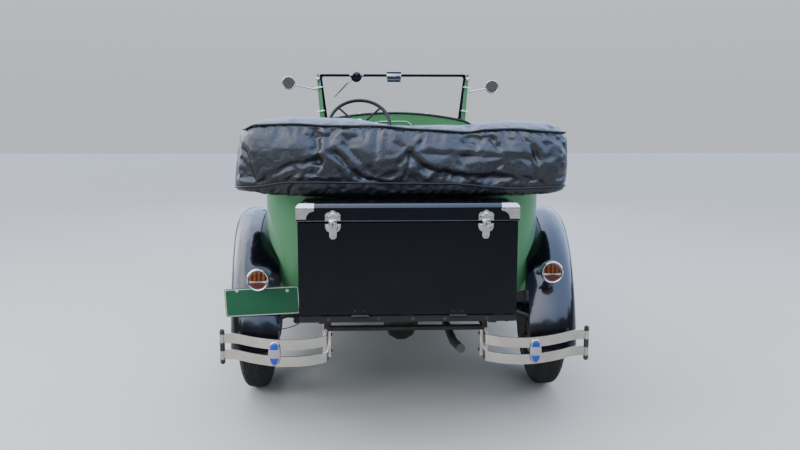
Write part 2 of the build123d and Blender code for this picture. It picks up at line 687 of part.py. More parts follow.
def rear_fender(cut):
    """The right rear fender, a half hoop over the wheel that ends behind it, cut to the body's side."""
    sections = []
    for angle, radius, x_in, x_out, edge, drop, skirt_in, skirt_out in REAR_FENDER:
        turn = radians(angle)
        y, z = REAR_AXLE_Y + radius * cos(turn), AXLE_Z + radius * sin(turn)
        sections.append(fender_section(y, z, turn, x_in, x_out, edge, drop, skirt_in, skirt_out))
    with BuildPart() as fender:
        loft(sections)
        add(cut, mode=Mode.SUBTRACT)
    return fender.part


def front_fender():
    """The right front fender, from its tip over the wheel and down to the running board."""
    sections = []
    for ahead, z, angle, x_in, x_out, edge, drop, skirt_in, skirt_out in FRONT_FENDER:
        y, turn = FRONT_AXLE_Y + ahead, radians(angle)
        sections.append(fender_section(y, z, turn, x_in, x_out, edge, drop, skirt_in, skirt_out))
    with BuildPart() as fender:
        loft(sections)
    return fender.part


def pair(piece):
    """A right-hand piece together with its mirror image on the left."""
    with BuildPart() as both:
        add(piece)
        mirror(about=Plane.YZ)
    return both.part


BOARD_GROOVES = 10


def running_boards_part():
    """The grooved steps between the fenders, with the splash aprons that close them to the body's sills."""
    with BuildPart() as boards:
        block((602, fore(522), 356), (850, fore(1670), 380))
        fillet(boards.edges().filter_by(Axis.Y).sort_by(Axis.X)[-2:], radius=9)
        with BuildSketch(Plane(origin=(724, fore(1096), 381))) as grooves:
            with GridLocations(22, 0, BOARD_GROOVES, 1):
                Rectangle(9, 1100)
        extrude(grooves.sketch, amount=-3, mode=Mode.SUBTRACT)
        with BuildSketch(Plane(origin=(0, fore(1670), 0), x_dir=(1, 0, 0), z_dir=(0, -1, 0))) as apron:
            with BuildLine():
                Polyline((572, 559), (578, 559), (608, 378), (602, 378), close=True)
            make_face()
        extrude(apron.sketch, amount=1148)
        mirror(about=Plane.YZ)
    return boards.part


# Bumpers, lamps and fittings

BAR_HEIGHT = 43
BAR_SHEET = 6
# plan of the right rear bar's back: a curled inner end, a bow to the medallion and a sweep to the outer end
REAR_BAR_CURL = (336, 566)
REAR_BAR_INNER = (360, 676)
REAR_BAR_BOW = (460, 715)
REAR_BAR_MEDALLION = (560, 704)
REAR_BAR_OUTER = (704, 626)
REAR_BAR_END = (800, 606)
REAR_BAR_ZS = (321, 393)
MEDALLION_XS = (-552, 541)
FRONT_BAR_ZS = (380, 449)


def bar_strip(side, z):
    """One flat spring bar on edge, from its curl at the iron to its outer end."""
    def place(point):
        return side * point[0], fore(-point[1])

    with BuildPart() as bar:
        with BuildSketch(Plane.XY.offset(z)) as strip:
            with BuildLine():
                FilletPolyline(place(REAR_BAR_CURL), place((338, 660)), place(REAR_BAR_INNER), radius=18)
                bow = ThreePointArc(place(REAR_BAR_INNER), place(REAR_BAR_BOW), place(REAR_BAR_MEDALLION))
                sweep_out = TangentArc(bow @ 1, place(REAR_BAR_OUTER), tangent=bow % 1)
                TangentArc(sweep_out @ 1, place(REAR_BAR_END), tangent=sweep_out % 1)
            trace(line_width=BAR_SHEET)
        extrude(amount=BAR_HEIGHT)
    return bar.part


def rear_bumpers_part():
    """Two quarter bumpers, each of two bars with a medallion clamp, end bolts and irons to the rail."""
    low, high = REAR_BAR_ZS[0], REAR_BAR_ZS[1] + BAR_HEIGHT
    with BuildPart() as bumpers:
        for (_, side), medallion_x in zip(SIDES, MEDALLION_XS):
            for z in REAR_BAR_ZS:
                add(bar_strip(side, z))
            rod((side * 788, fore(-610), low - 10), (side * 788, fore(-610), high + 10), 6)
            block((min(side * 326, side * 362), fore(-574), low - 6), (max(side * 326, side * 362), fore(-560), 520))
            face = Plane(origin=(medallion_x, fore(-698), (low + high) / 2), x_dir=(1, 0, 0), z_dir=(0, -1, 0))
            with BuildSketch(face) as oval:
                Ellipse(24, 50)
            extrude(oval.sketch, amount=24)
    return bumpers.part


def front_bumper_part():
    """A bowed pair of bars across the front, with irons to the rails."""
    with BuildPart() as bumper:
        for z in FRONT_BAR_ZS:
            with BuildSketch(Plane.XY.offset(z)) as strip:
                with BuildLine():
                    ThreePointArc((-800, FRONT_Y - 95), (0, FRONT_Y), (800, FRONT_Y - 95))
                    Line((800, FRONT_Y - 95), (800, FRONT_Y - 101))
                    ThreePointArc((800, FRONT_Y - 101), (0, FRONT_Y - BAR_SHEET), (-800, FRONT_Y - 101))
                    Line((-800, FRONT_Y - 101), (-800, FRONT_Y - 95))
                make_face()
            extrude(strip.sketch, amount=BAR_HEIGHT)
        for _, side in SIDES:
            rod((side * RAIL_FRONT_X, RAIL_FRONT_Y - 40, 508), (side * RAIL_FRONT_X, RAIL_FRONT_Y + 120, 500), 13)
            rod((side * RAIL_FRONT_X, RAIL_FRONT_Y + 110, 500), (side * 330, FRONT_Y - 24, 440), 12)
            block((min(side * 318, side * 342), FRONT_Y - 24, 376), (max(side * 318, side * 342), FRONT_Y - 12, 490))
            rod((side * 792, FRONT_Y - 101, 372), (side * 792, FRONT_Y - 101, 494), 7)
    return bumper.part


HEADLAMP_X = 400
HEADLAMP_Z = 920
HEADLAMP_Y = fore(2720)
HEADLAMP_BAR_Y = fore(2640)


def headlamps_part():
    """Two bucket headlamps on stalks, carried by a bar between the front fenders."""
    bucket = [(0, -148), (34, -142), (68, -118), (92, -84), (108, -40), (112, -14), (118, -12), (118, 4), (108, 4),
              (108, -10), (98, -40), (0, -60)]
    with BuildPart() as lamps:
        for _, side in SIDES:
            turned_back(bucket, (side * HEADLAMP_X, HEADLAMP_Y, HEADLAMP_Z))
            rod((side * HEADLAMP_X, HEADLAMP_BAR_Y, 764), (side * HEADLAMP_X, HEADLAMP_BAR_Y, 832), 12)
        with BuildLine() as bow:
            ThreePointArc((-421, HEADLAMP_BAR_Y, 768), (0, HEADLAMP_BAR_Y, 742), (421, HEADLAMP_BAR_Y, 768))
        with BuildSketch(Plane(origin=bow.line @ 0, z_dir=bow.line % 0)) as section:
            Circle(11)
        sweep(section.sketch, path=bow.line)
    return lamps.part


def headlamp_lenses_part():
    """The bowed glasses of the headlamps."""
    with BuildPart() as lenses:
        for _, side in SIDES:
            turned_back([(0, -6), (108, -10), (108, 0), (70, 9), (0, 14)],
                        (side * HEADLAMP_X, HEADLAMP_Y, HEADLAMP_Z))
    return lenses.part


# x, distance behind the rear axle and height of each tail lamp, and where its stalk meets the fender
TAIL_LAMPS = ((-631, 575, 666, 466), (633, 570, 690, 452))


def tail_lamps_part():
    """Two drum tail lamps on short stalks from the rear fenders."""
    drum = [(0, -23), (38, -23), (45, -15), (47, 20), (47, 30), (40, 30), (38, 26), (0, 26)]
    with BuildPart() as lamps:
        for x, behind, z, stalk_behind in TAIL_LAMPS:
            turned_back([(radius, -out) for radius, out in drum], (x, fore(-behind), z))
            rod((x, fore(-behind + 20), z - 10), (x, fore(-stalk_behind), z - 40), 9)
    return lamps.part


PLATE_CENTRE = (-624, fore(-536), 557)
PLATE_TILT = 2.5
PLATE_BOLT_SPACING = 218
PLATE_BOLT_RISE = 49


def licence_plate_part():
    """The blank number plate with its two bolts' holes and a bracket from the fender's tail."""
    x, y, z = PLATE_CENTRE
    with BuildPart() as plate:
        with BuildSketch(Plane(origin=PLATE_CENTRE, x_dir=(1, 0, 0), z_dir=(0, -1, 0))) as sheet:
            RectangleRounded(324, 125, 10, rotation=PLATE_TILT)
            with Locations(*[(side * PLATE_BOLT_SPACING / 2, PLATE_BOLT_RISE) for _, side in SIDES]):
                Circle(3.5, mode=Mode.SUBTRACT)
        extrude(sheet.sketch, amount=2)
        block((x - 40, y, z - 30), (x + 40, y + 5, z + 34))
        rod((x - 16, y + 3, z), (x - 16, fore(-506), z - 10), 7)
    return plate.part


# Trunk and rack


def trunk_body_part():
    """The trunk's carcass: bottom, sides and front wall, open behind and above."""
    half, front, rear = TRUNK_HALF_WIDTH, TRUNK_FRONT_Y, TRUNK_REAR_Y
    with BuildPart() as trunk:
        block((-half, rear + 14, TRUNK_LOW_Z), (half, front, TRUNK_SEAM_Z))
        block((-half + TRUNK_WALL, rear - 1, TRUNK_LOW_Z + TRUNK_WALL),
              (half - TRUNK_WALL, front - TRUNK_WALL, TRUNK_SEAM_Z + 1), mode=Mode.SUBTRACT)
    return trunk.part


def lid_shape(grow):
    """The filled outside of the trunk's lid, larger all round by grow."""
    half, front, rear = TRUNK_HALF_WIDTH + 3 + grow, TRUNK_FRONT_Y + grow, TRUNK_REAR_Y - 3 - grow
    with BuildPart() as shape:
        block((-half, rear, TRUNK_SEAM_Z), (half, front, TRUNK_TOP_Z + grow))
        fillet(shape.faces().sort_by(Axis.Z)[-1].edges().sort_by(Axis.Y)[:3], radius=20 + grow)
    return shape.part


def trunk_lid_part():
    """The trunk's lid with rounded edges, hollow below."""
    half, front, rear = TRUNK_HALF_WIDTH - 12, TRUNK_FRONT_Y - 15, TRUNK_REAR_Y + 12
    with BuildPart() as lid:
        add(lid_shape(0))
        block((-half, rear, TRUNK_SEAM_Z - 1), (half, front, TRUNK_TOP_Z - 12), mode=Mode.SUBTRACT)
    return lid.part


def trunk_panel_part():
    """The trunk's rear panel, which drops down on hinges along its lower edge."""
    half = TRUNK_HALF_WIDTH - 1
    with BuildPart() as panel:
        block((-half, TRUNK_REAR_Y, TRUNK_LOW_Z + 1), (half, TRUNK_REAR_Y + 9, TRUNK_SEAM_Z - MOVING_GAP))
        for x in (-193, 201):
            rod((x - 34, TRUNK_REAR_Y - 4, 561), (x + 34, TRUNK_REAR_Y - 4, 561), 5)
            block((x - 30, TRUNK_REAR_Y - 5, 562), (x + 30, TRUNK_REAR_Y, 592))
    return panel.part


# the right half of each latch plate's outline, from its middle: distance out, height
LATCH_UPPER = ((0, 991), (7, 988), (13, 982), (20, 982), (27, 977), (31, 969), (29, 960), (31, 950), (31, 948),
               (0, 948))
LATCH_LOWER = ((0, 936), (31, 936), (30, 920), (24, 908), (15, 903), (14, 884), (8, 876), (0, 875))
CAP_REACH = 70
CAP_SHEET = 2
CAP_LOW_Z = 953
CAP_CUT_RADIUS = 32


def latch_plate(x, outline, y, thick):
    """One half of a latch: a flat plate with a shield's outline, its back at y."""
    points = [(out, z) for out, z in outline] + [(-out, z) for out, z in reversed(outline[1:-1])]
    with BuildPart() as plate:
        with BuildSketch(Plane(origin=(x, y, 0), x_dir=(1, 0, 0), z_dir=(0, -1, 0))) as shield:
            with BuildLine():
                Polyline(*points, close=True)
            make_face()
        extrude(shield.sketch, amount=thick)
    return plate.part


def lid_fittings_part():
    """The lid's two latch plates and its rear corner caps, thin sheets over the lid's outside."""
    half, rear = TRUNK_HALF_WIDTH + 3, TRUNK_REAR_Y - 3
    inner_x, front_y = half - CAP_REACH, rear + CAP_REACH
    with BuildPart() as fittings:
        add(lid_shape(CAP_SHEET))
        block((inner_x, rear - 5, CAP_LOW_Z), (half + 5, front_y, TRUNK_TOP_Z + 5), mode=Mode.INTERSECT)
        add(lid_shape(0), mode=Mode.SUBTRACT)
        rod((inner_x, rear - 5, CAP_LOW_Z), (inner_x, rear + 5, CAP_LOW_Z), CAP_CUT_RADIUS, mode=Mode.SUBTRACT)
        rod((inner_x, front_y, TRUNK_TOP_Z - 5), (inner_x, front_y, TRUNK_TOP_Z + 5), CAP_CUT_RADIUS,
            mode=Mode.SUBTRACT)
        mirror(about=Plane.YZ)
        for x in LATCH_XS:
            add(latch_plate(x, LATCH_UPPER, rear, rear - BACK_Y - 5))
            block((x - 13, BACK_Y, 950), (x + 13, rear, 972))
    return fittings.part


def panel_fittings_part():
    """The latches' lower halves, on the rear panel."""
    with BuildPart() as fittings:
        for x in LATCH_XS:
            add(latch_plate(x, LATCH_LOWER, TRUNK_REAR_Y, TRUNK_REAR_Y - BACK_Y - 8))
            block((x - 13, BACK_Y, 896), (x + 13, TRUNK_REAR_Y, 934))
    return fittings.part


RACK_TUBE_Z = 452


def trunk_rack_part():
    """The slatted rack that carries the trunk, with arms from the rails' ends and a cross tube."""
    with BuildPart() as rack:
        for x in (-370, -185, 0, 185, 370):
            block((x - 22, fore(-800), RAIL_TOP_Z), (x + 22, fore(-462), TRUNK_LOW_Z))
        block((-436, fore(-806), 533), (438, fore(-788), 559))
        block((-392, fore(-600), 545), (392, fore(-572), RAIL_TOP_Z))
        for _, side in SIDES:
            block((min(side * 330, side * 360), fore(-800), 526),
                  (max(side * 330, side * 360), fore(-572), RAIL_TOP_Z))
            block((side * 340 - 12, fore(-612), RACK_TUBE_Z), (side * 340 + 12, fore(-588), RAIL_TOP_Z))
        rod((-340, fore(-600), RACK_TUBE_Z), (340, fore(-600), RACK_TUBE_Z), 12)
    return rack.part


# Folded top, seats, windscreen

COVER_LOW = (-733, fore(-600), 1021)
COVER_HIGH = (698, fore(-160), 1358)


def top_cover_part(cut):
    """The folded top in its cover: a soft pillow across the back, shaped round the body's rear edge."""
    with BuildPart() as cover:
        block(COVER_LOW, COVER_HIGH)
        fillet(cover.edges().filter_by(Axis.X), radius=70)
        fillet(cover.edges().filter_by(Axis.Z), radius=45)
        add(cut, mode=Mode.SUBTRACT)
    return cover.part


SEAT_GAP = 5


def seat_part(cushion_rear, half_width):
    """A bench seat: cushion and leaning back on a closed base."""
    base_top, cushion_top, back_top = 700, 880, 1105
    with BuildPart() as seat:
        block((-half_width, fore(cushion_rear), base_top), (half_width, fore(cushion_rear + 500), cushion_top))
        fillet(seat.edges().filter_by(Axis.X), radius=50)
        with BuildSketch(Plane.YZ.offset(-half_width)) as back:
            with BuildLine():
                Polyline((fore(cushion_rear - 20), base_top + 60), (fore(cushion_rear + 110), base_top + 60),
                         (fore(cushion_rear + 20), back_top), (fore(cushion_rear - 90), back_top), close=True)
            make_face()
            fillet(back.vertices(), radius=35)
        extrude(back.sketch, amount=2 * half_width)
        extrude(tub_plan(base_top, BODY_WALL + SEAT_GAP), amount=back_top - base_top, mode=Mode.INTERSECT)
        split(bisect_by=Plane.YZ, keep=Keep.TOP)
        mirror(about=Plane.YZ)
    return seat.part


def seat_bases_part():
    """The closed boxes that the two seats stand on."""
    with BuildPart() as bases:
        block((-560, fore(660), FLOOR_TOP_Z), (560, fore(1080), 700))
        block((-560, fore(-250), FLOOR_TOP_Z), (560, fore(190), 700))
    return bases.part


SCREEN_Y = fore(1478)
SCREEN_LOW_Z = 1348
SCREEN_MIDDLE_Z = 1392
SCREEN_TOP_Z = 1668
SCREEN_LOW_HALF = 470
SCREEN_TOP_HALF = 505
SCREEN_BAR = 17


def screen_outline(inset):
    """The windscreen's outline, wider above, drawn in by inset."""
    low, top = SCREEN_LOW_HALF - inset, SCREEN_TOP_HALF - inset
    place = Plane(origin=(0, SCREEN_Y + 8, 0), x_dir=(1, 0, 0), z_dir=(0, -1, 0))
    with BuildSketch(place) as outline:
        with BuildLine():
            ThreePointArc((-low, SCREEN_LOW_Z + inset), (0, SCREEN_MIDDLE_Z + inset), (low, SCREEN_LOW_Z + inset))
            Polyline((low, SCREEN_LOW_Z + inset), (top, SCREEN_TOP_Z - inset), (-top, SCREEN_TOP_Z - inset),
                     (-low, SCREEN_LOW_Z + inset))
        make_face()
        fillet(outline.vertices(), radius=12)
    return outline.sketch


def windscreen_frame_part():
    """The slim frame of the windscreen, with the wiper's motor and the inner mirror on its top bar."""
    with BuildPart() as frame:
        extrude(screen_outline(0), amount=16)
        extrude(screen_outline(SCREEN_BAR), amount=16, mode=Mode.SUBTRACT)
        with BuildSketch(Plane(origin=(-252, SCREEN_Y - 8, 1650), x_dir=(1, 0, 0), z_dir=(0, -1, 0))) as motor:
            Circle(38)
            with Locations((0, 24)):
                Rectangle(90, 50, mode=Mode.SUBTRACT)
        extrude(motor.sketch, amount=36)
        block((-270, SCREEN_Y - 30, 1640), (-234, SCREEN_Y - 6, 1656))
        block((-43, SCREEN_Y - 48, 1620), (55, SCREEN_Y - 40, 1680))
        rod((6, SCREEN_Y - 41, 1655), (6, SCREEN_Y - 6, 1655), 6)
    return frame.part


def windscreen_glass_part():
    """The flat glass, set in its frame."""
    with BuildPart() as glass:
        extrude(screen_outline(SCREEN_BAR), amount=11)
        extrude(screen_outline(SCREEN_BAR - 1), amount=5, mode=Mode.SUBTRACT)
    return glass.part


POST_FOOT_X = 500
POST_TOP_X = 524
POST_FOOT_Z = 1310


def windscreen_posts_part(cut):
    """The two leaning posts that hold the windscreen, with their feet on the cowl."""
    with BuildPart() as posts:
        place = Plane(origin=(0, SCREEN_Y + 15, 0), x_dir=(1, 0, 0), z_dir=(0, -1, 0))
        with BuildSketch(place) as outline:
            with BuildLine():
                Polyline((471, POST_FOOT_Z), (POST_FOOT_X, POST_FOOT_Z), (POST_TOP_X, SCREEN_TOP_Z),
                         (506, SCREEN_TOP_Z), (471, SCREEN_LOW_Z), close=True)
            make_face()
        extrude(outline.sketch, amount=30)
        fillet(posts.edges().filter_by(Axis.Y).group_by(Axis.Z)[-1], radius=7)
        mirror(about=Plane.YZ)
        add(cut, mode=Mode.SUBTRACT)
    return posts.part


# side, post height, mirror x, mirror z
MIRRORS = ((-1, 1560, -713, 1605), (1, 1545, 683, 1582))


def mirrors_part():
    """Two round mirrors on bent arms from the windscreen posts."""
    with BuildPart() as mirrors:
        for side, post_z, x, z in MIRRORS:
            post_x = POST_FOOT_X + (POST_TOP_X - POST_FOOT_X) * (post_z - POST_FOOT_Z) / (SCREEN_TOP_Z - POST_FOOT_Z)
            rod((side * (post_x + 1.5), SCREEN_Y - 4, post_z), (x - side * 20, SCREEN_Y - 24, z - 8), 5)
            with Locations(Plane(origin=(x, SCREEN_Y - 30, z), z_dir=(0, 1, 0))):
                Cylinder(45, 14)
    return mirrors.part


def steering_column_part():
    """The column from just under the steering wheel to its box on the left rail."""
    with BuildPart() as column:
        rod(column_point(62), column_point(1215), 21)
        block((-291, fore(1990), 512), (-196, fore(2085), 640))
    return column.part


def steering_wheel_part():
    """A four-spoke steering wheel with its hub."""
    tilt = Plane(origin=STEERING_HUB, x_dir=(1, 0, 0), z_dir=(0, -cos(COLUMN_SLOPE), sin(COLUMN_SLOPE)))
    rim = STEERING_WHEEL_RADIUS - 11
    with BuildPart() as wheel:
        with Locations(tilt):
            Torus(rim, 11)
        with Locations(tilt.offset(-24)):
            Cylinder(34, 56)
        for quarter in range(4):
            turn = pi / 4 + quarter * pi / 2
            end = tilt.from_local_coords((rim * cos(turn), rim * sin(turn), 0))
            rod(tilt.from_local_coords((0, 0, -14)), end, 7)
    return wheel.part


os.makedirs("parts", exist_ok=True)

for side_name, side in SIDES:
    wheel = wheel_part((0, 0, 0), side)
    tyre = tyre_part((0, 0, 0))
    for axle, y in (("front", FRONT_AXLE_Y), ("rear", REAR_AXLE_Y)):
        place = Location((side * HALF_TRACK, y, AXLE_Z))
        keep(wheel.moved(place), f"wheel_{axle}_{side_name}")
        keep(tyre.moved(place), f"tyre_{axle}_{side_name}")
    keep(knuckle_part(side), f"knuckle_{side_name}")
    keep(hood_half(side), f"hood_{side_name}")
keep(tie_rod_part(), "tie_rod")

keep(frame_part(), "frame")
keep(leaf_spring(REAR_SPRING_Y, 425, 395, 530), "spring_rear")
keep(leaf_spring(FRONT_AXLE_Y, 447, 408, 410), "spring_front")
keep(front_axle_part(), "front_axle")
keep(rear_axle_part(), "rear_axle")
keep(engine_part(), "engine")

side_wall = side_shell()
for door_name, rear_edge, front_edge in DOORS:
    door = door_part(side_wall, rear_edge, front_edge)
    keep(door, f"door_{door_name}_right")
    keep(mirror(door, about=Plane.YZ), f"door_{door_name}_left")
keep(body_tub_part(side_wall), "body_tub")
keep(cowl_part(), "cowl")
keep(instrument_panel_part(), "instrument_panel")
keep(hood_hinge_part(), "hood_hinge")
keep(hood_sills_part(), "hood_sills")
keep(radiator_shell_part(), "radiator_shell")
keep(radiator_core_part(), "radiator_core")

body_space = tub_solid()
keep(pair(rear_fender(body_space)), "rear_fenders")
keep(pair(front_fender()), "front_fenders")
keep(running_boards_part(), "running_boards")
keep(rear_bumpers_part(), "rear_bumpers")
keep(front_bumper_part(), "front_bumper")
keep(headlamps_part(), "headlamps")
keep(headlamp_lenses_part(), "headlamp_lenses")
keep(tail_lamps_part(), "tail_lamps")
keep(licence_plate_part(), "licence_plate")

keep(trunk_body_part(), "trunk_body")
keep(trunk_lid_part(), "trunk_lid")
keep(lid_fittings_part(), "trunk_lid_fittings")
keep(panel_fittings_part(), "trunk_panel_fittings")
keep(trunk_panel_part(), "trunk_panel")
keep(trunk_rack_part(), "trunk_rack")

keep(top_cover_part(tub_solid(BELT_PROUD + 1)), "top_cover")
keep(seat_part(650, 560), "front_seat")
keep(seat_part(-280, 560), "rear_seat")
keep(seat_bases_part(), "seat_bases")
keep(windscreen_frame_part(), "windscreen_frame")
keep(windscreen_glass_part(), "windscreen_glass")
keep(windscreen_posts_part(cowl_fill(0)), "windscreen_posts")
keep(mirrors_part(), "mirrors")
keep(steering_column_part(), "steering_column")
keep(steering_wheel_part(), "steering_wheel")
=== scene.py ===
"""A touring car of the late twenties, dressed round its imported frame: finishes, soft goods and fittings."""

import json
import logging
from collections.abc import Callable, Sequence
from dataclasses import dataclass, field
from enum import Enum
from math import asin, copysign, cos, hypot, pi, radians, sin, sqrt

import bmesh
import bpy
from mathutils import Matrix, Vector, noise


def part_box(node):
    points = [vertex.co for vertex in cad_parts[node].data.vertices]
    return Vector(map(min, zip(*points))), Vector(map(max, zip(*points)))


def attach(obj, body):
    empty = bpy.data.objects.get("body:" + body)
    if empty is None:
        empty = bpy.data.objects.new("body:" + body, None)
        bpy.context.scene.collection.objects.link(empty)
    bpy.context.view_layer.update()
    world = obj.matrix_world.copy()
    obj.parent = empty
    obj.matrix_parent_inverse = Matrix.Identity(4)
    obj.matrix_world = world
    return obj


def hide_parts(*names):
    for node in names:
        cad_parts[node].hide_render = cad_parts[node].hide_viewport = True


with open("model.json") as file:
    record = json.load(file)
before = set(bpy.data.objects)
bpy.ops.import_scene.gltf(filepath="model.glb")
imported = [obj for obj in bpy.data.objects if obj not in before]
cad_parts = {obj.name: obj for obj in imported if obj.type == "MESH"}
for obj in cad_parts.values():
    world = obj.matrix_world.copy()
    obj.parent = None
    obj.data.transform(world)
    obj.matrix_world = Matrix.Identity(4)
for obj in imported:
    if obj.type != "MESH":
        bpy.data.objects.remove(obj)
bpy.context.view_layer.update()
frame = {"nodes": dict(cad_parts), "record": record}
LOG = logging.getLogger("touring_car")

Colour = tuple[float, float, float]
Place = tuple[float, float, float]
Corners = Sequence[tuple[float, float]]
Fold = tuple[float, float, float, float, float, float]
Piece = bpy.types.Object
Material = bpy.types.Material
Socket = bpy.types.NodeSocket
Sockets = dict[str, Socket]
Feeds = dict[int | str, object]

UP = Vector((0, 0, 1))
AHEAD = Vector((0, 1, 0))
ACROSS = Vector((1, 0, 0))
MM = 0.001
WELD = 1.5e-5  # points nearer than this become one, in metres
THINNEST = 1e-5  # the radius of a turned profile where it meets its axis
SIDES = (("left", -1), ("right", 1))


def middle(node: str) -> Vector:
    """The middle of a CAD node's box, in metres."""
    low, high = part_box(node)
    return (Vector(low) + Vector(high)) / 2


REAR_AXLE = middle("wheel_rear_left")
FRONT_AXLE = middle("wheel_front_left")


def mm(x: float, ahead: float, z: float) -> Vector:
    """A point in metres from millimetres: across, ahead of the rear axle and up."""
    return Vector((x * MM, REAR_AXLE.y + ahead * MM, z * MM))


def wheel_places() -> list[tuple[str, Vector, int]]:
    """Each wheel's end and side as a name, its centre, and -1 on the left or 1 on the right."""
    return [(f"{end}_{name}", Vector((abs(axle.x) * side, axle.y, axle.z)), side)
            for end, axle in (("front", FRONT_AXLE), ("rear", REAR_AXLE)) for name, side in SIDES]


def scaled(corners: Corners) -> list[tuple[float, float]]:
    """Corners that are given in millimetres, in metres."""
    return [(right * MM, up * MM) for right, up in corners]


def full_turn(steps: int) -> list[float]:
    """The angles of a full turn, in equal steps."""
    return [2 * pi * k / steps for k in range(steps)]


def upright_ring(x: float, ahead: float, z: float, radius: float, steps: int) -> list[Vector]:
    """A ring of points that faces along the car, from millimetres."""
    return [mm(x + radius * cos(a), ahead, z + radius * sin(a)) for a in full_turn(steps)]


def placed(name: str, data: bpy.types.ID) -> Piece:
    """A new object in the scene."""
    bpy.context.scene.collection.objects.link(new := bpy.data.objects.new(name, data))
    return new


def blend_between(low: float, high: float, value: float) -> float:
    """A smooth step from 0 at low to 1 at high."""
    share = min(max((value - low) / (high - low), 0.0), 1.0)
    return share * share * (3 - 2 * share)


def along(table: Corners, x: float) -> float:
    """Reads a table of (x, value) pairs at x, with smooth steps between its points.

    Args:
        table: pairs of x and value, x rising.
        x: where to read.

    Returns:
        The value, held past both ends.
    """
    if x <= table[0][0]:
        return table[0][1]
    for (x0, v0), (x1, v1) in zip(table, table[1:]):
        if x <= x1:
            return v0 + (v1 - v0) * blend_between(x0, x1, x)
    return table[-1][1]


class Wiring:
    """Adds nodes to one tree and feeds each socket a constant or another node's output."""

    def __init__(self, tree: bpy.types.NodeTree) -> None:
        """Keeps the tree that the nodes go into."""
        self.tree = tree

    def feed(self, node: bpy.types.Node, feeds: Feeds) -> None:
        """Gives a node's inputs, by name or index, a constant or another node's output each.

        Args:
            node: the node.
            feeds: what each input gets.
        """
        for key, value in feeds.items():
            if isinstance(value, Socket):
                self.tree.links.new(value, node.inputs[key])
            else:
                node.inputs[key].default_value = value

    def add(self, kind: str, feeds: Feeds | None = None, out: int | str = 0, **settings: object) -> Socket:
        """Adds one node.

        Args:
            kind: the node's type without its "ShaderNode" start.
            feeds: what each input gets, by name or index.
            out: the output that is wanted.
            **settings: the node's own properties.

        Returns:
            The wanted output socket.
        """
        node = self.tree.nodes.new(f"ShaderNode{kind}")
        for key, value in settings.items():
            setattr(node, key, value)
        self.feed(node, feeds or {})
        return node.outputs[out]

    def position(self) -> Socket:
        """The point on the object, in its own coordinates."""
        return self.add("TexCoord", out="Object")

    def stretched(self, vector: Socket, scale: Place) -> Socket:
        """A vector scaled along its axes."""
        return self.add("Mapping", {"Vector": vector, "Scale": scale})

    def clouds(self, vector: Socket, scale: object, detail: float = 3.0, rough: float = 0.55) -> Socket:
        """Soft noise from 0 to 1."""
        return self.add("TexNoise", {"Vector": vector, "Scale": scale, "Detail": detail, "Roughness": rough})

    def band(self, value: Socket, low: object, high: object, bottom: object = 0.0, top: object = 1.0) -> Socket:
        """A value carried from low...high to bottom...top, and held there."""
        feeds = {"Value": value, "From Min": low, "From Max": high, "To Min": bottom, "To Max": top}
        return self.add("MapRange", feeds)

    def sum(self, a: Socket, b: object) -> Socket:
        """Two values added."""
        return self.add("Math", {0: a, 1: b}, operation="ADD")

    def times(self, a: Socket, b: object) -> Socket:
        """Two values multiplied."""
        return self.add("Math", {0: a, 1: b}, operation="MULTIPLY")

    def mixed(self, share: Socket, a: object, b: object) -> Socket:
        """Colour a turning to colour b as share goes from 0 to 1."""
        return self.add("Mix", {0: share, 6: a, 7: b}, out=2, data_type="RGBA")


def blank_material(name: str) -> tuple[Material, Wiring, bpy.types.Node]:
    """A new material with its wiring and its Principled BSDF.

    Args:
        name: the material's name.

    Returns:
        The material, its wiring and its shader.
    """
    material = bpy.data.materials.new(name)
    material.use_nodes = True
    return material, Wiring(material.node_tree), material.node_tree.nodes["Principled BSDF"]


class Effect(Enum):
    """The effects that several finishes share, each one a node group."""

    RIPPLE = "sheet_ripple"
    DUST = "road_dust"
    RUBBED = "rubbed_edges"
    GRAIN = "hide_grain"
    SCRATCH = "fine_scratches"
    CLOUDING = "colour_clouding"
    POLISH = "polished_above"


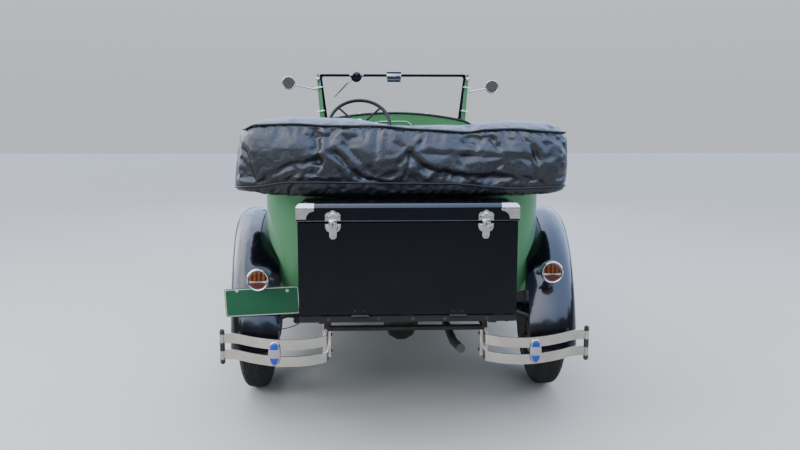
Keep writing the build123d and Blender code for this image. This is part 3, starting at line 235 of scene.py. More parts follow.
class EffectShelf:
    """Builds each effect's node group once and places it in any material."""

    def __init__(self) -> None:
        """Starts with an empty shelf."""
        self.groups: dict[Effect, bpy.types.NodeTree] = {}
        self.makers: dict[Effect, Callable[[Wiring, Sockets], Sockets]] = {
            Effect.RIPPLE: self.ripple, Effect.DUST: self.dust, Effect.RUBBED: self.rubbed,
            Effect.GRAIN: self.grain, Effect.SCRATCH: self.scratch, Effect.CLOUDING: self.clouding,
            Effect.POLISH: self.polish,
        }
        self.sockets: dict[Effect, dict[str, float]] = {
            Effect.RIPPLE: {"Size": 0.12, "Fine Size": 0.002, "Fine Share": 0.1},
            Effect.DUST: {"Low": 0.1, "High": 0.9, "Amount": 0.5, "Settled": 0.3},
            Effect.RUBBED: {"Width": 0.003, "Amount": 0.5},
            Effect.GRAIN: {"Size": 0.0015, "Crease Size": 0.03, "Crease Share": 0.5},
            Effect.SCRATCH: {"Size": 0.004, "Amount": 0.5},
            Effect.CLOUDING: {"Size": 0.3, "Contrast": 1.0},
            Effect.POLISH: {"Low": 0.3, "High": 1.0},
        }

    def place(self, wiring: Wiring, effect: Effect, feeds: Feeds, out: str) -> Socket:
        """Places an effect in a material.

        Args:
            wiring: the material's wiring.
            effect: which effect.
            feeds: values for the group's inputs.
            out: the group's output that is wanted.

        Returns:
            The output socket.
        """
        if effect not in self.groups:
            self.groups[effect] = self.build(effect)
        return wiring.add("Group", feeds, out=out, node_tree=self.groups[effect])

    def build(self, effect: Effect) -> bpy.types.NodeTree:
        """Makes the node group of one effect.

        Args:
            effect: which effect.

        Returns:
            The group.
        """
        tree = bpy.data.node_groups.new(effect.value, "ShaderNodeTree")
        for name, value in self.sockets[effect].items():
            socket = tree.interface.new_socket(name, in_out="INPUT", socket_type="NodeSocketFloat")
            socket.default_value = value
        wiring = Wiring(tree)
        entry = tree.nodes.new("NodeGroupInput")
        outputs = self.makers[effect](wiring, {s.name: s for s in entry.outputs if s.name})
        leave = tree.nodes.new("NodeGroupOutput")
        for name, value in outputs.items():
            tree.interface.new_socket(name, in_out="OUTPUT", socket_type="NodeSocketFloat")
            tree.links.new(value, leave.inputs[name])
        return tree

    @staticmethod
    def scale_of(wiring: Wiring, size: Socket) -> Socket:
        """Noise scale for features of a size in metres."""
        return wiring.add("Math", {0: 1.0, 1: size}, operation="DIVIDE")

    def ripple(self, wiring: Wiring, entry: Sockets) -> Sockets:
        """Beaten sheet: broad waves with a fine orange peel.

        Args:
            wiring: the group's wiring.
            entry: the group's inputs by name.

        Returns:
            The group's outputs by name.
        """
        point = wiring.position()
        broad = wiring.clouds(point, self.scale_of(wiring, entry["Size"]), 1.0, 0.4)
        fine = wiring.clouds(point, self.scale_of(wiring, entry["Fine Size"]), 1.0, 0.5)
        return {"Height": wiring.sum(broad, wiring.times(fine, entry["Fine Share"]))}

    def dust(self, wiring: Wiring, entry: Sockets) -> Sockets:
        """Dust that thins out with height and lies on faces that look up.

        Args:
            wiring: the group's wiring.
            entry: the group's inputs by name.

        Returns:
            The group's outputs by name.
        """
        point = wiring.position()
        height = wiring.add("SeparateXYZ", {0: point}, out="Z")
        low = wiring.band(height, entry["High"], entry["Low"])
        facing = wiring.add("SeparateXYZ", {0: wiring.add("TexCoord", out="Normal")}, out="Z")
        lying = wiring.times(wiring.band(facing, 0.3, 1.0), entry["Settled"])
        patchy = wiring.band(wiring.clouds(point, 9.0, 6.0, 0.65), 0.35, 0.75, 0.25, 1.0)
        total = wiring.times(wiring.sum(low, lying), patchy)
        return {"Mask": wiring.band(wiring.times(total, entry["Amount"]), 0.0, 1.0)}

    def rubbed(self, wiring: Wiring, entry: Sockets) -> Sockets:
        """Corners and edges where the finish has rubbed thin.

        Args:
            wiring: the group's wiring.
            entry: the group's inputs by name.

        Returns:
            The group's outputs by name.
        """
        rounded = wiring.add("Bevel", {"Radius": entry["Width"]}, samples=4)
        plain = wiring.add("NewGeometry", out="Normal")
        match = wiring.add("VectorMath", {0: rounded, 1: plain}, out="Value", operation="DOT_PRODUCT")
        edge = wiring.band(match, 0.98, 0.80)
        broken = wiring.band(wiring.clouds(wiring.position(), 60.0, 5.0, 0.7), 0.42, 0.62)
        return {"Mask": wiring.times(wiring.times(edge, broken), entry["Amount"])}

    def grain(self, wiring: Wiring, entry: Sockets) -> Sockets:
        """Pebbled hide with creases across it, and a mask that is 0 in the creases.

        Args:
            wiring: the group's wiring.
            entry: the group's inputs by name.

        Returns:
            The group's outputs by name.
        """
        point = wiring.position()
        cells = wiring.add("TexVoronoi", {"Vector": point, "Scale": self.scale_of(wiring, entry["Size"])},
                           out="Distance", feature="F1")
        pebble = wiring.band(cells, 0.0, 0.7, 1.0, 0.0)
        creases = wiring.add("TexNoise", {
            "Vector": point, "Scale": self.scale_of(wiring, entry["Crease Size"]), "Detail": 5.0, "Roughness": 0.6,
            "Distortion": 0.6})
        folded = wiring.add("Math", {0: wiring.sum(creases, -0.5)}, operation="ABSOLUTE")
        line = wiring.band(folded, 0.0, 0.12, 0.0, 1.0)
        height = wiring.sum(wiring.times(pebble, 0.35), wiring.times(line, entry["Crease Share"]))
        return {"Height": height, "Crease": line}

    def scratch(self, wiring: Wiring, entry: Sockets) -> Sockets:
        """Polishing marks and swirls.

        Args:
            wiring: the group's wiring.
            entry: the group's inputs by name.

        Returns:
            The group's outputs by name.
        """
        point = wiring.position()
        long = wiring.stretched(point, (1.0, 1.0, 14.0))
        lines = wiring.add("TexNoise", {"Vector": long, "Scale": self.scale_of(wiring, entry["Size"]),
                                        "Detail": 4.0, "Roughness": 0.7})
        patches = wiring.band(wiring.clouds(point, 14.0, 3.0), 0.35, 0.7)
        return {"Mask": wiring.times(wiring.times(wiring.band(lines, 0.45, 0.7), patches), entry["Amount"])}

    def polish(self, wiring: Wiring, entry: Sockets) -> Sockets:
        """Full polish where a face looks up, where hands and cloths reach, and less of it on level and low faces."""
        facing = wiring.add("SeparateXYZ", {0: wiring.add("TexCoord", out="Normal")}, out="Z")
        return {"Mask": wiring.band(facing, 0.04, 0.34, entry["Low"], entry["High"])}

    def clouding(self, wiring: Wiring, entry: Sockets) -> Sockets:
        """Broad uneven colour.

        Args:
            wiring: the group's wiring.
            entry: the group's inputs by name.

        Returns:
            The group's outputs by name.
        """
        scale = self.scale_of(wiring, entry["Size"])
        soft = wiring.add("TexNoise", {"Vector": wiring.position(), "Scale": scale, "Detail": 6.0, "Roughness": 0.6})
        spread = wiring.times(wiring.sum(soft, -0.5), entry["Contrast"])
        return {"Mask": wiring.band(wiring.sum(spread, 0.5), 0.0, 1.0)}


@dataclass(frozen=True)
class HardFinish:
    """Paint, plating, enamel, iron or rubber over a hard surface."""

    name: str
    slot: str
    colour: Colour
    shade: Colour
    roughness: float
    metallic: float = 0.0
    coat: float = 0.0
    low_coat: float = 1.0
    coat_roughness: float = 0.03
    specular: float = 0.5
    cloud_size: float = 0.35
    cloud_contrast: float = 1.2
    ripple_depth: float = 0.0004
    ripple_size: float = 0.16
    peel_size: float = 0.003
    peel_share: float = 0.12
    scratch: float = 0.25
    rubbed: float = 0.0
    rubbed_width: float = 0.0025
    rubbed_colour: Colour = (0.35, 0.33, 0.30)
    dust: float = 0.2
    dust_top: float = 0.9
    settled: float = 0.25
    dust_colour: Colour = (0.23, 0.20, 0.16)

    def build(self, shelf: EffectShelf) -> Material:
        """Makes the material from the shared effects.

        Args:
            shelf: the shared effects.

        Returns:
            The material.
        """
        material, wiring, shader = blank_material(self.name)
        cloud = shelf.place(wiring, Effect.CLOUDING,
                            {"Size": self.cloud_size, "Contrast": self.cloud_contrast}, "Mask")
        colour = wiring.mixed(cloud, (*self.colour, 1), (*self.shade, 1))
        scratches = shelf.place(wiring, Effect.SCRATCH, {"Amount": self.scratch}, "Mask")
        rough = wiring.sum(wiring.times(scratches, 0.25), wiring.band(cloud, 0.0, 1.0, self.roughness * 0.8,
                                                                     self.roughness * 1.2))
        if self.rubbed:
            rub = shelf.place(wiring, Effect.RUBBED, {"Width": self.rubbed_width, "Amount": self.rubbed}, "Mask")
            colour = wiring.mixed(rub, colour, (*self.rubbed_colour, 1))
        dust = shelf.place(wiring, Effect.DUST, {
            "Low": 0.05, "High": self.dust_top, "Amount": self.dust, "Settled": self.settled}, "Mask")
        colour = wiring.mixed(dust, colour, (*self.dust_colour, 1))
        rough = wiring.sum(rough, wiring.times(dust, 0.5))
        height = shelf.place(wiring, Effect.RIPPLE, {
            "Size": self.ripple_size, "Fine Size": self.peel_size, "Fine Share": self.peel_share}, "Height")
        bump = wiring.add("Bump", {"Height": height, "Distance": self.ripple_depth, "Strength": 1.0})
        wiring.feed(shader, {
            "Base Color": colour, "Roughness": rough, "Normal": bump, "Metallic": self.metallic,
            "Specular IOR Level": self.specular, "Coat Weight": self.coat, "Coat Roughness": self.coat_roughness})
        if self.low_coat < 1:
            share = {"Low": self.low_coat * self.coat, "High": self.coat}
            wiring.feed(shader, {"Coat Weight": shelf.place(wiring, Effect.POLISH, share, "Mask")})
        return material


@dataclass(frozen=True)
class HideFinish:
    """Vinyl or leather: pebbled and creased, its shine a little uneven, with painted shade in the creases."""

    name: str
    slot: str
    colour: Colour
    worn: Colour
    roughness: float
    pebble_size: float = 0.0016
    crease_size: float = 0.05
    crease_share: float = 1.0
    depth: float = 0.0008
    coat: float = 0.0
    coat_roughness: float = 0.25
    # how far the painted shade in the creases darkens the colour
    painted_crease_shade: float = 0.45
    dust: float = 0.05
    dust_colour: Colour = (0.30, 0.28, 0.25)

    def build(self, shelf: EffectShelf) -> Material:
        """Makes the material from the shared effects.

        Args:
            shelf: the shared effects.

        Returns:
            The material.
        """
        material, wiring, shader = blank_material(self.name)
        feeds = {"Size": self.pebble_size, "Crease Size": self.crease_size, "Crease Share": self.crease_share}
        height = shelf.place(wiring, Effect.GRAIN, feeds, "Height")
        crease = shelf.place(wiring, Effect.GRAIN, feeds, "Crease")
        cloud = shelf.place(wiring, Effect.CLOUDING, {"Size": 0.22, "Contrast": 1.4}, "Mask")
        colour = wiring.mixed(cloud, (*self.colour, 1), (*self.worn, 1))
        # painted shade: the colour darkened along the creases, where shade falls
        dark = tuple(c * self.painted_crease_shade for c in self.colour)
        colour = wiring.mixed(wiring.band(crease, 0.0, 1.0, 0.35, 0.0), colour, (*dark, 1))
        dust = shelf.place(wiring, Effect.DUST, {"Amount": self.dust, "Settled": 1.0, "High": 0.3}, "Mask")
        colour = wiring.mixed(dust, colour, (*self.dust_colour, 1))
        rough = wiring.sum(wiring.band(cloud, 0.0, 1.0, self.roughness * 0.85, self.roughness * 1.2),
                           wiring.times(dust, 0.5))
        bump = wiring.add("Bump", {"Height": height, "Distance": self.depth, "Strength": 1.0})
        wiring.feed(shader, {"Base Color": colour, "Roughness": rough, "Normal": bump,
                             "Coat Weight": self.coat, "Coat Roughness": self.coat_roughness})
        return material


@dataclass(frozen=True)
class GlassFinish:
    """Clear or coloured glass, smooth or pressed in ribs."""

    name: str
    slot: str
    colour: Colour
    roughness: float = 0.02
    transmission: float = 1.0
    rib_pitch: float = 0.0
    rib_depth: float = 0.001
    # how far the painted shade between the ribs darkens the colour
    rib_painted_shade: float = 1.0
    film: float = 0.045
    ior: float = 1.5

    def build(self, shelf: EffectShelf) -> Material:
        """Makes the material from the shared effects.

        Args:
            shelf: the shared effects.

        Returns:
            The material.
        """
        material, wiring, shader = blank_material(self.name)
        cloud = shelf.place(wiring, Effect.CLOUDING, {"Size": 0.2, "Contrast": 1.5}, "Mask")
        pale = tuple(min(1.0, c * 1.08 + 0.01) for c in self.colour)
        colour = wiring.mixed(cloud, (*self.colour, 1), (*pale, 1))
        rough = wiring.band(cloud, 0.0, 1.0, self.roughness, self.roughness + self.film)
        if self.rib_pitch:
            across = wiring.add("SeparateXYZ", {0: wiring.position()}, out="X")
            wave = wiring.add("Math", {0: wiring.times(across, 2 * pi / self.rib_pitch)}, operation="SINE")
            bump = wiring.add("Bump", {"Height": wave, "Distance": self.rib_depth, "Strength": 1.0})
            wiring.feed(shader, {"Normal": bump})
            # painted light and shade: the colour darkened between the ribs, so the ribs show as bright streaks of
            # light from the reflector behind the glass
            deep = tuple(c * self.rib_painted_shade for c in self.colour)
            colour = wiring.mixed(wiring.band(wave, -0.6, 0.6), (*deep, 1), colour)
        wiring.feed(shader, {"Base Color": colour, "Roughness": rough, "Transmission Weight": self.transmission,
                             "IOR": self.ior})
        return material


class Kit(Enum):
    """Every finish on the car."""

    GREEN = HardFinish("jade_green_paint", "paint_green", (0.086, 0.268, 0.118), (0.076, 0.240, 0.104), 0.16,
                       coat=0.35, specular=0.35, ripple_depth=0.0012, ripple_size=0.3, rubbed=0.25,
                       rubbed_colour=(0.12, 0.14, 0.12), dust=0.16, dust_top=1.1)
    BLACK = HardFinish("black_gloss_paint", "paint_black", (0.0025, 0.0030, 0.0065), (0.0035, 0.0040, 0.0085), 0.07,
                       coat=1.0, low_coat=0.15, specular=0.32, ripple_depth=0.0020, ripple_size=0.20, dust=0.08,
                       dust_top=0.7)
    TRUNK_BLACK = HardFinish("trunk_black_enamel", "paint_black", (0.0016, 0.0020, 0.0042), (0.0022, 0.0028, 0.0060),
                             0.17, coat=1.0, low_coat=0.0, specular=0.26, ripple_depth=0.0022, ripple_size=0.28,
                             rubbed=0.5, rubbed_width=0.0015, rubbed_colour=(0.10, 0.10, 0.10), dust=0.07)
    RIM_RUBBER = HardFinish("hard_rubber_rim", "paint_black", (0.009, 0.009, 0.010), (0.014, 0.014, 0.015), 0.40,
                            specular=0.3, ripple_size=0.03, scratch=0.5, dust=0.08, dust_top=0.2)
    CHASSIS = HardFinish("chassis_black", "chassis_black", (0.005, 0.005, 0.005), (0.009, 0.0085, 0.008), 0.42,
                         ripple_depth=0.0006, ripple_size=0.05, peel_share=0.5, rubbed=0.6,
                         rubbed_colour=(0.06, 0.040, 0.028), dust=0.28, dust_top=0.6, settled=0.6)
    NICKEL = HardFinish("nickel_plate", "nickel", (0.88, 0.82, 0.73), (0.62, 0.57, 0.49), 0.15, metallic=1.0,
                        ripple_depth=0.0012, ripple_size=0.07, scratch=0.55, dust=0.16, dust_top=0.8,
                        cloud_size=0.08, cloud_contrast=1.6)
    BRIGHT = HardFinish("bright_chrome", "nickel", (0.78, 0.77, 0.75), (0.54, 0.53, 0.50), 0.08, metallic=1.0,
                        ripple_depth=0.0010, ripple_size=0.03, scratch=0.3, dust=0.05, cloud_size=0.06)
    TYRE = HardFinish("tyre_rubber", "tyre", (0.008, 0.008, 0.008), (0.013, 0.0125, 0.012), 0.58,
                      ripple_depth=0.0005, ripple_size=0.02, peel_share=0.8, scratch=0.6, dust=0.22, dust_top=0.6,
                      settled=0.1, dust_colour=(0.17, 0.155, 0.13))
    WHEEL = HardFinish("wheel_black", "wheel_black", (0.007, 0.007, 0.008), (0.012, 0.012, 0.012), 0.2,
                       coat=0.5, ripple_size=0.06, dust=0.4, dust_top=0.8, settled=0.2)
    IRON = HardFinish("painted_iron", "cast", (0.045, 0.075, 0.055), (0.030, 0.045, 0.035), 0.55,
                      ripple_depth=0.0016, ripple_size=0.012, peel_share=0.6, rubbed=0.7, dust=0.4)
    CORE = HardFinish("core_black", "core", (0.012, 0.011, 0.010), (0.030, 0.024, 0.016), 0.5, metallic=0.3,
                      ripple_size=0.01, dust=0.3)
    MAT = HardFinish("black_rubber_mat", "chassis_black", (0.018, 0.018, 0.018), (0.028, 0.027, 0.025), 0.66,
                     ripple_depth=0.0005, ripple_size=0.01, peel_share=0.7, dust=0.5, dust_top=1.0, settled=0.8)
    MIRROR = HardFinish("mirror_silver", "nickel", (0.30, 0.32, 0.38), (0.27, 0.29, 0.35), 0.02, metallic=1.0,
                        ripple_depth=0.00002, scratch=0.05, dust=0.03)
    BLUE = HardFinish("blue_enamel", "nickel", (0.010, 0.040, 0.42), (0.012, 0.050, 0.48), 0.18, coat=0.3,
                      ripple_depth=0.0001, scratch=0.2, dust=0.03, cloud_size=0.02)
    PLATE = HardFinish("plate_green", "plate_green", (0.010, 0.095, 0.042), (0.012, 0.108, 0.048), 0.30,
                       specular=0.25, ripple_depth=0.0008, ripple_size=0.07, rubbed=0.3,
                       rubbed_colour=(0.4, 0.45, 0.4), dust=0.08)
    WHITE = HardFinish("white_enamel", "plate_green", (0.72, 0.72, 0.68), (0.66, 0.66, 0.60), 0.28,
                       ripple_depth=0.0003, dust=0.1)
    DARK_STEEL = HardFinish("dark_steel", "chassis_black", (0.06, 0.06, 0.06), (0.10, 0.095, 0.09), 0.4,
                            metallic=1.0, ripple_size=0.02, rubbed=0.5, dust=0.4)
    DIAL = HardFinish("dial_white", "nickel", (0.62, 0.60, 0.52), (0.56, 0.54, 0.45), 0.4, dust=0.02)
    COVER = HideFinish("cover_vinyl", "cover_vinyl", (0.0050, 0.0053, 0.0070), (0.0090, 0.0095, 0.0120), 0.27,
                       pebble_size=0.0012, crease_size=0.06, crease_share=1.6, depth=0.0009, coat=0.8)
    PIPING = HideFinish("cover_piping", "cover_vinyl", (0.006, 0.006, 0.007), (0.010, 0.010, 0.011), 0.4,
                        pebble_size=0.0010, crease_size=0.01, depth=0.0003)
    LEATHER = HideFinish("seat_leather", "seat_leather", (0.020, 0.016, 0.013), (0.038, 0.030, 0.023), 0.38,
                         pebble_size=0.0018, crease_size=0.028, crease_share=0.8, depth=0.0006)
    GLASS = GlassFinish("clear_glass", "glass", (0.97, 0.99, 0.98))
    LENS = GlassFinish("headlamp_lens", "glass", (0.95, 0.97, 0.96), roughness=0.04, rib_pitch=0.014,
                       rib_depth=0.0015)
    # the amber lens has painted streaks of light and shade across its ribs
    AMBER = GlassFinish("amber_lens", "glass", (0.26, 0.066, 0.006), roughness=0.08, transmission=0.25,
                        rib_pitch=0.0190, rib_depth=0.0040, rib_painted_shade=0.50)
    RED = GlassFinish("red_lens", "glass", (0.12, 0.012, 0.006), roughness=0.10, transmission=0.25)


class FinishShop:
    """Makes each finish's material when it is first asked for."""

    def __init__(self) -> None:
        """Starts with the effects and no materials."""
        self.shelf = EffectShelf()
        self.made: dict[Kit, Material] = {}

    def material(self, finish: Kit) -> Material:
        """The material of a finish.

        Args:
            finish: which finish.

        Returns:
            Its one material.
        """
        if finish not in self.made:
            self.made[finish] = finish.value.build(self.shelf)
        return self.made[finish]


class Shape:
    """A mesh under way, in metres in the car's frame."""

    def __init__(self) -> None:
        """Starts an empty mesh."""
        self.mesh = bmesh.new()

    def skin(self, rings: Sequence[Sequence[Vector]], looped: bool = False, capped: bool = True) -> "Shape":
        """Joins rings of equal length with faces.

        Args:
            rings: closed rows of points.
            looped: the last row joins the first.
            capped: the first and last rows are filled, unless they join.

        Returns:
            This shape.
        """
        rows = [[self.mesh.verts.new(point) for point in ring] for ring in rings]
        count = len(rows[0])
        spans = len(rows) if looped else len(rows) - 1
        for index in range(spans):
            here, there = rows[index], rows[(index + 1) % len(rows)]
            for k in range(count):
                following = (k + 1) % count
                self.mesh.faces.new((here[k], here[following], there[following], there[k]))
        if capped and not looped:
            self.mesh.faces.new(list(reversed(rows[0])))
            self.mesh.faces.new(rows[-1])
        return self

    def turn(self, profile: Corners, centre: Vector, axis: Vector, steps: int = 32,
             looped: bool = False, capped: bool = True) -> "Shape":
        """Turns a profile about a line.

        Args:
            profile: pairs of radius and distance along the axis.
            centre: where the distances start.
            axis: the line's direction.
            steps: points round each ring.
            looped: the profile closes on itself, as a ring's does.
            capped: the ends are filled.

        Returns:
            This shape.
        """
        axis = Vector(axis).normalized()
        side = axis.orthogonal().normalized()
        other = axis.cross(side)
        rings = []
        for radius, distance in profile:
            radius = max(radius, THINNEST)
            rings.append([centre + axis * distance + (side * cos(a) + other * sin(a)) * radius
                          for a in full_turn(steps)])
        return self.skin(rings, looped=looped, capped=capped)

    def tube(self, path: Sequence[Vector], radius: float, sides: int = 10, looped: bool = False,
             flat: float = 1.0) -> "Shape":
        """Sweeps a circle, or an ellipse, along a path.

        Args:
            path: the points of the middle line.
            radius: the tube's radius.
            sides: points round it.
            looped: the path closes on itself.
            flat: how much the second width is of the first.

        Returns:
            This shape.
        """
        path = [Vector(p) for p in path]
        count = len(path)
        rings = []
        side = None
        for index, point in enumerate(path):
            before = path[index - 1] if index or looped else point
            after = path[(index + 1) % count] if index < count - 1 or looped else point
            heading = (after - before).normalized()
            side = (heading.orthogonal() if side is None else side - heading * side.dot(heading)).normalized()
            other = heading.cross(side)
            rings.append([point + side * cos(a) * radius + other * sin(a) * radius * flat for a in full_turn(sides)])
        return self.skin(rings, looped=looped)

    def plate(self, outline: Corners, origin: Vector, right: Vector, up: Vector, thick: float,
              bevel: float = 0.0) -> "Shape":
        """Raises a flat outline to a plate with rounded edges.

        Args:
            outline: corners as distances right and up, counter-clockwise seen from the front.
            origin: the outline's zero, on the plate's back.
            right: the outline's first direction.
            up: the outline's second direction.
            thick: the plate's thickness, towards the viewer.
            bevel: how far the front edge is rounded.

        Returns:
            This shape.
        """
        front = Vector(right).cross(Vector(up)).normalized()
        centre_x, centre_y = (sum(values) / len(outline) for values in zip(*outline))
        reach = max(hypot(x - centre_x, y - centre_y) for x, y in outline)
        rounding = ((thick - bevel, 0.0), (thick - bevel * 0.3, bevel * 0.35)) if bevel else ()
        rings = []
        for depth, inset in ((0.0, 0.0), *rounding, (thick, bevel)):
            scale = 1 - inset / reach
            rings.append([origin + right * (centre_x + (x - centre_x) * scale)
                          + up * (centre_y + (y - centre_y) * scale) + front * depth for x, y in outline])
        return self.skin(rings)

    def slab(self, low: Vector, high: Vector, bevel: float = 0.001) -> "Shape":
        """A box between two corners with rounded edges.

        Args:
            low: the lowest corner.
            high: the highest corner.
            bevel: the edges' width.

        Returns:
            This shape.
        """
        before = set(self.mesh.edges)
        corners = [Vector((x, y, z)) for z in (low[2], high[2])
                   for x, y in ((low[0], low[1]), (high[0], low[1]), (high[0], high[1]), (low[0], high[1]))]
        self.skin([corners[:4], corners[4:]])
        if bevel:
            edges = [e for e in self.mesh.edges if e not in before]
            bmesh.ops.bevel(self.mesh, geom=edges, offset=bevel, segments=2, affect="EDGES", profile=0.5)
        return self

    def bolt(self, place: Vector, axis: Vector, radius: float, height: float) -> "Shape":
        """A six-sided bolt head on a washer.

        Args:
            place: the foot's middle.
            axis: out of the surface.
            radius: of the head.
            height: of the head.

        Returns:
            This shape.
        """
        self.turn([(radius * 1.45, 0.0), (radius * 1.45, height * 0.18), (radius * 1.3, height * 0.22),
                   (0, height * 0.22)], place, axis, 20)
        head = [(radius, height * 0.2), (radius, height * 0.85), (radius * 0.85, height)]
        return self.turn(head, place, axis, 6)

    def rivet(self, place: Vector, axis: Vector, radius: float, height: float) -> "Shape":
        """A domed rivet or screw head on a washer."""
        dome = [(radius * cos(a), height * (0.2 + 0.8 * sin(a))) for a in (radians(d) for d in (0, 30, 60, 85))]
        return self.turn([(radius * 1.45, 0.0), (radius * 1.45, height * 0.18), *dome], place, axis, 20)

    def finish(self, name: str, body: str, material: Material, slot: str,
               crease: float = 35.0) -> Piece:
        """Closes the mesh and makes it a piece that rides on a body.

        Args:
            name: the piece's name.
            body: the CAD body it moves with.
            material: its finish.
            slot: the record's material slot.
            crease: edges sharper than this many degrees stay sharp.

        Returns:
            The new object.
        """
        bmesh.ops.remove_doubles(self.mesh, verts=self.mesh.verts, dist=WELD)
        bmesh.ops.recalc_face_normals(self.mesh, faces=self.mesh.faces)
        data = bpy.data.meshes.new(name)
        self.mesh.to_mesh(data)
        self.mesh.free()
        data.materials.append(material)
        data.shade_smooth()
        data.set_sharp_from_angle(angle=radians(crease))
        piece = placed(name, data)
        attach(piece, body)
        LOG.info("%s on %s: %d faces", name, body, len(data.polygons))
        return piece


@dataclass
class SubAssembly:
    """A group of pieces made by one maker, with the shop that finishes them."""

    shop: FinishShop

    def put(self, shape: Shape, name: str, finish: Kit, body: str = "chassis",
            crease: float = 35.0) -> Piece:
        """Finishes a shape as a piece of this sub-assembly."""
        return shape.finish(name, body, self.shop.material(finish), finish.value.slot, crease)

    def build(self) -> None:
        """Makes the pieces."""
        raise NotImplementedError


@dataclass
class Studio:
    """Camera, floor, sky and lights."""

    camera_place: Place = (-0.136, -4.913, 1.320)
    lens: float = 33.1
    yaw: float = 2.05
    pitch: float = 7.73
    floor_half: float = 30.0
    floor_colour: Colour = (0.66, 0.655, 0.64)
    backdrop: Colour = (0.62, 0.65, 0.70)
    overhead: Colour = (0.92, 1.0, 1.16)
    mirrored_low: Colour = (0.14, 0.15, 0.17)
    mirrored_left: Colour = (4.3, 4.5, 5.0)
    mirrored_right: Colour = (1.5, 2.0, 3.2)
    mirrored_ahead: Colour = (1.05, 1.3, 1.95)
    mirrored_floor: float = 0.5

    def build(self) -> None:
        """Sets up the view, the light and the floor."""
        self.camera()
        self.floor()
        self.world()
        self.lights()

    def camera(self) -> None:
        """The photograph's view: behind the car, a little above and left of its middle."""
        data = bpy.data.cameras.new("view")
        data.lens = self.lens
        camera = placed("view", data)
        camera.location = self.camera_place
        camera.rotation_euler = (radians(90 - self.pitch), 0, radians(-self.yaw))
        bpy.context.scene.camera = camera

    def floor(self) -> None:
        """A plain pale floor with the faintest unevenness in its sheen, mirrored darker than it is."""
        data = bpy.data.meshes.new("floor")
        half = self.floor_half
        data.from_pydata([(-half, -half, 0), (half, -half, 0), (half, half, 0), (-half, half, 0)], [], [(0, 1, 2, 3)])
        material, wiring, shader = blank_material("pale_floor")
        cloud = wiring.clouds(wiring.position(), 1.5, 4.0)
        pale = tuple(c * 0.97 for c in self.floor_colour)
        dim = tuple(c * self.mirrored_floor for c in self.floor_colour)
        colour = wiring.mixed(cloud, (*self.floor_colour, 1), (*pale, 1))
        colour = wiring.mixed(wiring.add("LightPath", out="Is Glossy Ray"), colour, (*dim, 1))
        wiring.feed(shader, {"Base Color": colour, "Roughness": wiring.band(cloud, 0, 1, 0.6, 0.75)})
        data.materials.append(material)
        floor = placed("floor", data)

    def world(self) -> None:
        """An even pale sky, which shines in glossy surfaces as a dark skyline under a bright and then a blue sky."""
        world = bpy.data.worlds.new("studio")
        bpy.context.scene.world = world
        world.use_nodes = True
        wiring = Wiring(world.node_tree)
        outward = wiring.add("TexCoord", out="Generated")
        height = wiring.add("SeparateXYZ", {0: outward}, out="Z")
        across = wiring.add("SeparateXYZ", {0: outward}, out="X")
        ahead = wiring.add("SeparateXYZ", {0: outward}, out="Y")
        plain = wiring.mixed(wiring.band(height, 0.04, 0.55), (*self.backdrop, 1), (*self.overhead, 1))
        sky = wiring.mixed(wiring.band(across, -0.55, 0.15), (*self.mirrored_left, 1), (*self.mirrored_right, 1))
        sky = wiring.mixed(wiring.band(ahead, 0.55, 0.85), sky, (*self.mirrored_ahead, 1))
        sky = wiring.mixed(wiring.band(wiring.clouds(outward, 2.2, 5.0), 0.50, 0.68), sky, (*self.mirrored_right, 1))
        skyline = wiring.sum(height, wiring.band(ahead, 0.4, -0.5, 0.0, -0.18))
        skyline = wiring.sum(skyline, wiring.times(wiring.sum(wiring.clouds(outward, 5.0, 6.0), -0.5), 0.30))
        mirrored = wiring.mixed(wiring.band(skyline, 0.05, 0.09), (*self.mirrored_low, 1), sky)
        through = wiring.add("LightPath", out="Is Transmission Ray")
        glossy = wiring.times(wiring.add("LightPath", out="Is Glossy Ray"), wiring.band(through, 0.0, 1.0, 1.0, 0.0))
        wiring.feed(world.node_tree.nodes["Background"], {"Color": wiring.mixed(glossy, plain, mirrored)})

    def lights(self) -> None:
        """Soft boxes: a wide one overhead, one at each side, one behind the camera and one ahead of the car."""
        for name, place, aim, size, power in (
            ("overhead", (-0.8, -0.8, 5.2), (0, -0.6, 0.8), (4.5, 5.5), 190),
            ("left_wall", (-5.0, -4.2, 3.4), (0, -1.0, 0.8), (3.6, 2.4), 150),
            ("right_wall", (5.5, -1.0, 2.8), (0, 0.0, 0.7), (4.5, 2.6), 50),
            ("behind_view", (0.8, -7.5, 3.4), (0, -1.5, 0.8), (5.0, 2.0), 50),
            ("front_wall", (0.0, 7.0, 3.0), (0, 1.0, 0.7), (5.0, 2.4), 60),
        ):
            data = bpy.data.lights.new(name, "AREA")
            data.shape = "RECTANGLE"
            data.size, data.size_y = size
            data.energy = power
            lamp = placed(name, data)
            lamp.location = place
            lamp.visible_transmission = lamp.visible_glossy = False
            lamp.rotation_euler = (Vector(aim) - Vector(place)).to_track_quat("-Z", "Y").to_euler()


